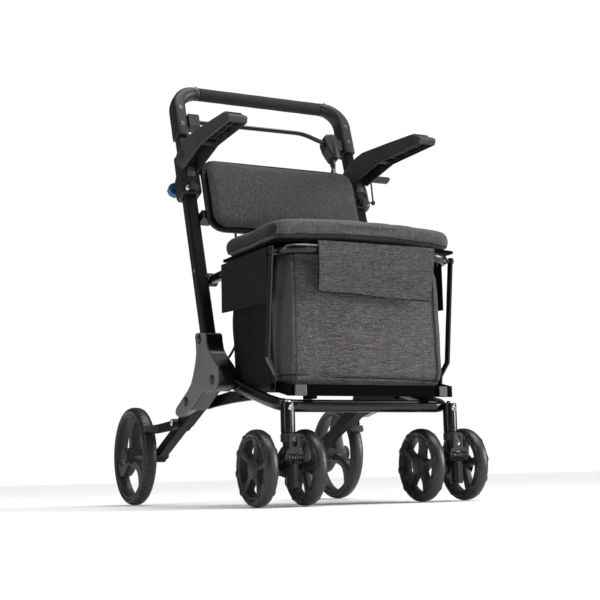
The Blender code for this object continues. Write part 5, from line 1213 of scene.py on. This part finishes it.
def front_flap():
    """Flap over the bag's front, bent in at its foot, with dark cords along its lower and left edges that are
    painted shadow of the edge.
    """
    def bend(across, down):
        return -0.0006 * sin(5.0 * across + 1.0) * down + FLAP_BEND * down ** 2.2

    flap = hanging_flap("front_flap_cloth", 2 * FLAP_HALF, 0.228, FLAP_DROP, 60, 30, bend)
    for vertex in flap.data.vertices:
        down = -vertex.co.z / FLAP_DROP
        vertex.co.x += 0.006 - 0.001 * down
        vertex.co.z -= down * (0.005 * vertex.co.x / FLAP_HALF + 0.0006 * sin(42.0 * vertex.co.x))
        vertex.co.y -= 0.0012 * noise.noise(Vector((vertex.co.x * 16.0, 0.0, vertex.co.z * 22.0))) * down
    flap.data.transform(Matrix.Translation(FLAP_AT))
    dress(flap, "seat_frame", flap_cloth, "bag_fabric", "flap_front", angle=50.0)
    # Dark cords along the lower and left edges: painted shadow under and beside the flap's edge
    lower = [(-0.1092 + 0.2275 * step / 40, 1.0) for step in range(41)]
    left = [(-0.1131 + 0.004 * step / 20, 0.04 + 0.96 * step / 20) for step in range(21)]
    for word, edge in (("lower", lower), ("left", left)):
        path = []
        for x, down in edge:
            drop = down * (FLAP_DROP + 0.005 * x / FLAP_HALF)
            path.append(Vector(FLAP_AT) + Vector((x, FLAP_BEND * down ** 2.2, -drop)))
        shadow_cord = tube(f"flap_shadow_cord_{word}", laid_on(flap, path, 0.0004), 0.0012, BACKWARDS)
        dress(shadow_cord, "seat_frame", thread, "bag_fabric")


def side_flaps():
    for side, word in SIDES:
        flap = hanging_flap(f"side_flap_{word}_cloth", 0.2, 0.2, SIDE_FLAP_DROP, 50, 24,
                            lambda across, down: 0.0004 * sin(6.0 * across) * down)
        for vertex in flap.data.vertices:
            down = -vertex.co.z / SIDE_FLAP_DROP
            vertex.co.z -= down * (0.0014 * sin(19.0 * vertex.co.x) - 0.045 * vertex.co.x)
        flap.data.transform(Matrix.Translation((side * 0.18125, -0.183 + SHIFT, 0.45))
                            @ Matrix.Rotation(radians(90.0), 4, "Z"))
        # The side flap's near-black cloth is painted shade
        dress(flap, "seat_frame", shaded_side_flap_cloth, "bag_fabric", f"flap_side_{word}", angle=50.0)


# Cables and springs
def brake_cables():
    """Both jackets from the lever housing to the rear brakes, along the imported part's routes."""
    routes = {
        "right": ((0.15, 0.0658, 0.6991), (0.1495, 0.057, 0.672), (0.15, 0.042, 0.625), (0.151, 0.03, 0.57),
                  (0.15, 0.023, 0.51), (0.149, 0.02, 0.45), (0.15, 0.022, 0.39), (0.154, 0.028, 0.33),
                  (0.162, 0.036, 0.275), (0.172, 0.047, 0.235), (0.18, 0.064, 0.2085), (0.183, 0.09, 0.19),
                  (0.1832, 0.0975, 0.1832)),
        "left": ((0.1445, 0.0657, 0.6987), (0.137, 0.058, 0.675), (0.115, 0.048, 0.64), (0.07, 0.043, 0.615),
                 (0.01, 0.04, 0.6), (-0.05, 0.038, 0.585), (-0.09, 0.036, 0.56), (-0.099, 0.033, 0.535),
                 (-0.09, 0.029, 0.5), (-0.083, 0.026, 0.45), (-0.084, 0.025, 0.4), (-0.092, 0.026, 0.35),
                 (-0.108, 0.029, 0.305), (-0.128, 0.033, 0.275), (-0.152, 0.04, 0.25), (-0.171, 0.05, 0.229),
                 (-0.18, 0.067, 0.208), (-0.183, 0.09, 0.19), (-0.1832, 0.0975, 0.1832)),
    }
    for word, route in routes.items():
        path = flowing([(x, y + SHIFT, z) for x, y, z in route], 0.004)
        cable = tidy(tube(f"brake_cable_{word}_jacket", path, 0.0025, RIGHT, 12))
        cable.data.materials.append(cable_skin)
        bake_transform(cable)
        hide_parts(f"brake_cable_{word}")


def caster_springs():
    """Torsion springs on the pins of the swivel locks, five turns each."""
    half, coil, turns, points = 0.0124, 0.0037, 5, 24
    for side, word in SIDES:
        path = []
        for step in range(turns * points + 1):
            turn = 2 * pi * step / points
            x = side * CASTER_X - half + 2 * half * step / (turns * points)
            path.append(Vector((x, SWIVEL_Y - 0.0215 + coil * cos(turn), 0.0824 + coil * sin(turn))))
        spring = tube(f"caster_spring_{word}_wire", path, 0.0007, RIGHT)
        dress(spring, f"caster_{word}", steel_grey, "bright_steel", f"caster_spring_{word}")


# Armrests
def armrest_shell():
    """Right-hand armrest round its hinge: hollow below, cheeks, ribs, fine ridges along the top."""
    hub = [(0.016 * cos(radians(turn)), 0.016 * sin(radians(turn)), 0.0) for turn in range(-60, 91, 10)]
    outline = rounded(hub + [
        (-0.0343, 0.0262, 0.012), (-0.061, 0.0312, 0.014), (-0.1633, 0.0281, 0.0), (-0.244, 0.0245, 0.01),
        (-0.2745, 0.0118, 0.006), (-0.2693, -0.0004, 0.004), (-0.1223, -0.0049, 0.03),
        (-0.0523, -0.0209, 0.03), (-0.0193, -0.0294, 0.005)])
    hollow = [(0.0377, -0.0899), (0.0377, 0.0901), (-0.0213, 0.0901), (-0.0213, 0.0151), (-0.0358, 0.0226),
              (-0.0668, 0.0278), (-0.1633, 0.0249), (-0.2425, 0.0211), (-0.268, 0.011), (-0.264, -0.0899)]
    diamond = [(-0.0223, -0.0109), (-0.0278, -0.0009), (-0.0223, 0.0091), (-0.0168, -0.0009)]
    middle_rib = [(-0.268, 0.005), (-0.1423, 0.002), (-0.1423, 0.0255), (-0.242, 0.022)]
    body = plate("armrest_shell", outline, -0.019, 0.019, 0.0018, "x", 3)
    cutters = [plate("hollow", hollow, -0.0162, 0.0162, 0.0), plate("diamond", diamond, 0.0172, 0.03, 0.0)]
    cut_out(body, *cutters)
    pieces = [body, plate("rib", middle_rib, -0.001, 0.001, 0.0004)]
    for y, low in ((-0.184, 0.003), (-0.142, 0.002), (-0.225, 0.0045)):
        rib = [(y - 0.001, low), (y + 0.001, low), (y + 0.001, 0.0258), (y - 0.001, 0.0258)]
        pieces.append(plate("rib", rib, -0.0168, 0.0168, 0.0004))
    for step in range(34):
        y = -0.07 - 0.0054 * step
        if y > -0.1633:
            top = 0.0306 + (y + 0.07) * 0.0033 / 0.1023
        else:
            top = 0.0276 + (y + 0.1633) * 0.0036 / 0.0807
        ridge = both_ways([(0.0, -0.0165), (0.0012, -0.0165)])
        pieces.append(spun("ridge", ridge, (0.0, y, top), "x", 10))
    boss = [(0.005, 0.0), (0.005, 0.0194), (0.004, 0.0198), (0.0034, 0.0192), (0.0, 0.0192), (0.0, 0.0)]
    ring = [(0.0105, 0.017), (0.0105, 0.0196), (0.0098, 0.02), (0.009, 0.0194), (0.0, 0.0194), (0.0, 0.017)]
    pieces += spun_pair("boss", boss, (0.0, -0.1068, 0.0034), 32)
    pieces += spun_pair("hinge_ring", ring, ORIGIN, 40)
    armrest = joined("armrest", *pieces)
    with editing(armrest):
        bpy.ops.mesh.select_all(action="SELECT")
        bpy.ops.mesh.bisect(plane_co=(0.0, ARM_SPLAY_FROM, 0.0), plane_no=BACKWARDS)
    for vertex in armrest.data.vertices:
        vertex.co.x += ARM_SPLAY * max(0.0, ARM_SPLAY_FROM - vertex.co.y)
    armrest.data.transform(Matrix.Translation(ARM_HINGE))
    return armrest


def armrests():
    right = armrest_shell()
    right.name = "armrest_right_moulding"
    left = twin(right, "armrest_left_moulding", MIRROR)
    dress(right, "armrest_right", arm_plastic, "black_plastic", "armrest_right", angle=32.0)
    dress(left, "armrest_left", arm_plastic, "black_plastic", "armrest_left", angle=32.0)


# Small pieces: pads, pins, collars, screws and bolts
def tray_ends():
    """Plain metal end pads on the tray's front edge."""
    bottom, top = 0.1868, 0.206
    for low, high, word in ((-0.1551, -0.1321, "left"), (0.1364, 0.1536, "right")):
        outline = [(low, bottom), (high, bottom), (high, top), (low, top)]
        pad = plate(f"tray_end_pad_{word}", outline, -0.3268, -0.3236, 0.0014, "y", 3)
        dress(pad, "front_frame", tray_grey, "black_frame")


def clamp_fittings():
    """Domed pin, nuts and the pale lug plate on the front of each clamp."""
    dome = [(0.0, 0.0), (0.0062, 0.0), (0.0062, 0.002), (0.0055, 0.004), (0.0038, 0.0056), (0.0018, 0.0063),
            (0.0, 0.0064)]
    low, high, inner, outer = 0.6425, 0.66, MAST_X - 0.011, MAST_X + 0.01
    for side, word in SIDES:
        pin = spun(f"clamp_pin_{word}", dome, axis="z")
        pin.data.transform(facing(mast_point(side * outer, -0.022, low), MAST_FRONT))
        dress(pin, "base", steel_bright, "bright_steel")
        nuts = [ringed_bolt("nut", mast_point(side * x, -0.0222, s), MAST_FRONT, 0.0052, 0.0037, 0.0034)
                for x, s in ((inner, low), (inner, high), (outer, high))]
        dress(joined(f"clamp_nuts_{word}", *nuts), "base", steel_black, "black_frame")
        lug = skin(f"clamp_plate_{word}", [
            [(side * MAST_X + a, d + b, s) for a, b in rounded_rect(half, 0.0012, 0.0006, steps=2)]
            for s, half, d in ((0.67, 0.0098, -0.0232), (0.689, 0.007, -0.0277))])
        lug.data.transform(MAST)
        dress(lug, "base", arm_plastic, "black_plastic")


def caster_collars():
    """Ring at the foot of each caster post."""
    section = [(0.0106, 0.109), (0.0127, 0.109), (0.0133, 0.1096), (0.0133, 0.1218), (0.0127, 0.1224),
               (0.0106, 0.1224)]
    for side, word in SIDES:
        collar = spun(f"caster_collar_{word}", section, (side * CASTER_X, SWIVEL_Y, 0.0), "z", 36)
        dress(collar, f"caster_{word}", arm_plastic, "black_plastic")


def side_screws():
    """Screws and bolts that face sideways: masts, side plates, legs and brake arms."""
    for side, word in SIDES:
        out = (side, 0.0, 0.0)
        screw(f"mast_screw_{word}", "base", steel_grey, "black_frame", 0.0036, 0.0016,
              mast_point(side * (MAST_X + 0.0119), -0.002, 0.47), out, 0.5, 0.7)
        screw(f"brake_stud_head_{word}", "base", steel_bright, "bright_steel", 0.0056, 0.003,
              (side * 0.2124, 0.106, 0.1608), out, 0.5, 0.7)
        leg_place = (side * 0.1957, *leg_point(0.07, 0.002))
        bolts = [ringed_bolt("leg_bolt", leg_place, out, 0.0066, 0.0046, 0.003)]
        heads = []
        for spot in PLATE_BOLTS:
            place = (side * PLATE_FACE_X, *spot)
            bolts.append(ringed_bolt("bolt", place, out, 0.0092, 0.0064, 0.0036))
            heads.append(screw_head("bolt_head", 0.0052, 0.004, place, out, 0.62, 0.9))
        dress(joined(f"plate_bolts_{word}", *bolts), "base", frame_black, "black_frame")
        dress(joined(f"plate_bolt_heads_{word}", *heads), "base", grey_cast, "grey_plate")


# Solids that stay, with a finish and softened edges
def keep_solids():
    finishes = {
        "mast": (frame_black, 0.0), "inner_tube": (frame_black, 0.0), "side_casting": (cast_black, 0.0022),
        "side_plate": (grey_cast, 0.0), "rear_leg": (leg_plastic, 0.001), "clamp": (plastic_black, 0.0006),
        "backrest_shell": (dark_black, 0.0), "brake_bracket": (plastic_black, 0.0007),
        "brake_bar": (frame_black, 0.0), "latch_rod": (steel_black, 0.0),
        # The seat board takes the near-black tray paint as painted shadow: its edge stands for the shadow gap
        # under the cushion
        "paddle_lever": (plastic_black, 0.0006), "seat_board": (tray_black, 0.0008),
        "tray": (tray_black, 0.0005), "brake_arm": (plastic_black, 0.0006),
        "height_knob": (blue_knob, 0.0004), "caster_fork": (dark_black, 0.0004),
        "swivel_lock": (plastic_black, 0.0004),
    }
    for name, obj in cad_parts.items():
        root = name.removesuffix("_left").removesuffix("_right")
        if root not in finishes:
            continue
        finish, edge = finishes[root]
        for slot in obj.material_slots:
            slot.material = finish
        if edge:
            obj.modifiers.new("merge", "WELD").merge_threshold = MERGE_DISTANCE
            flat = obj.modifiers.new("flat_faces", "DECIMATE")
            flat.decimate_type = "DISSOLVE"
            flat.angle_limit = radians(1.0)
            bevel = obj.modifiers.new("edges", "BEVEL")
            bevel.width = edge
            bevel.segments = 2
            bevel.limit_method = "ANGLE"
            bevel.angle_limit = radians(35.0)
            obj.modifiers.new("shading", "WEIGHTED_NORMAL")


for build in (photo_camera, studio, place_wheels, lower_frame_tube, lower_frame_screws, seat_rail_tube,
              side_bars, handle_grip, handle_elbows, brake_lever_housing, seat_pads, bag_shell, bag_trim,
              front_flap, side_flaps, brake_cables, caster_springs, armrests, tray_ends, clamp_fittings,
              caster_collars, side_screws, keep_solids):
    build()
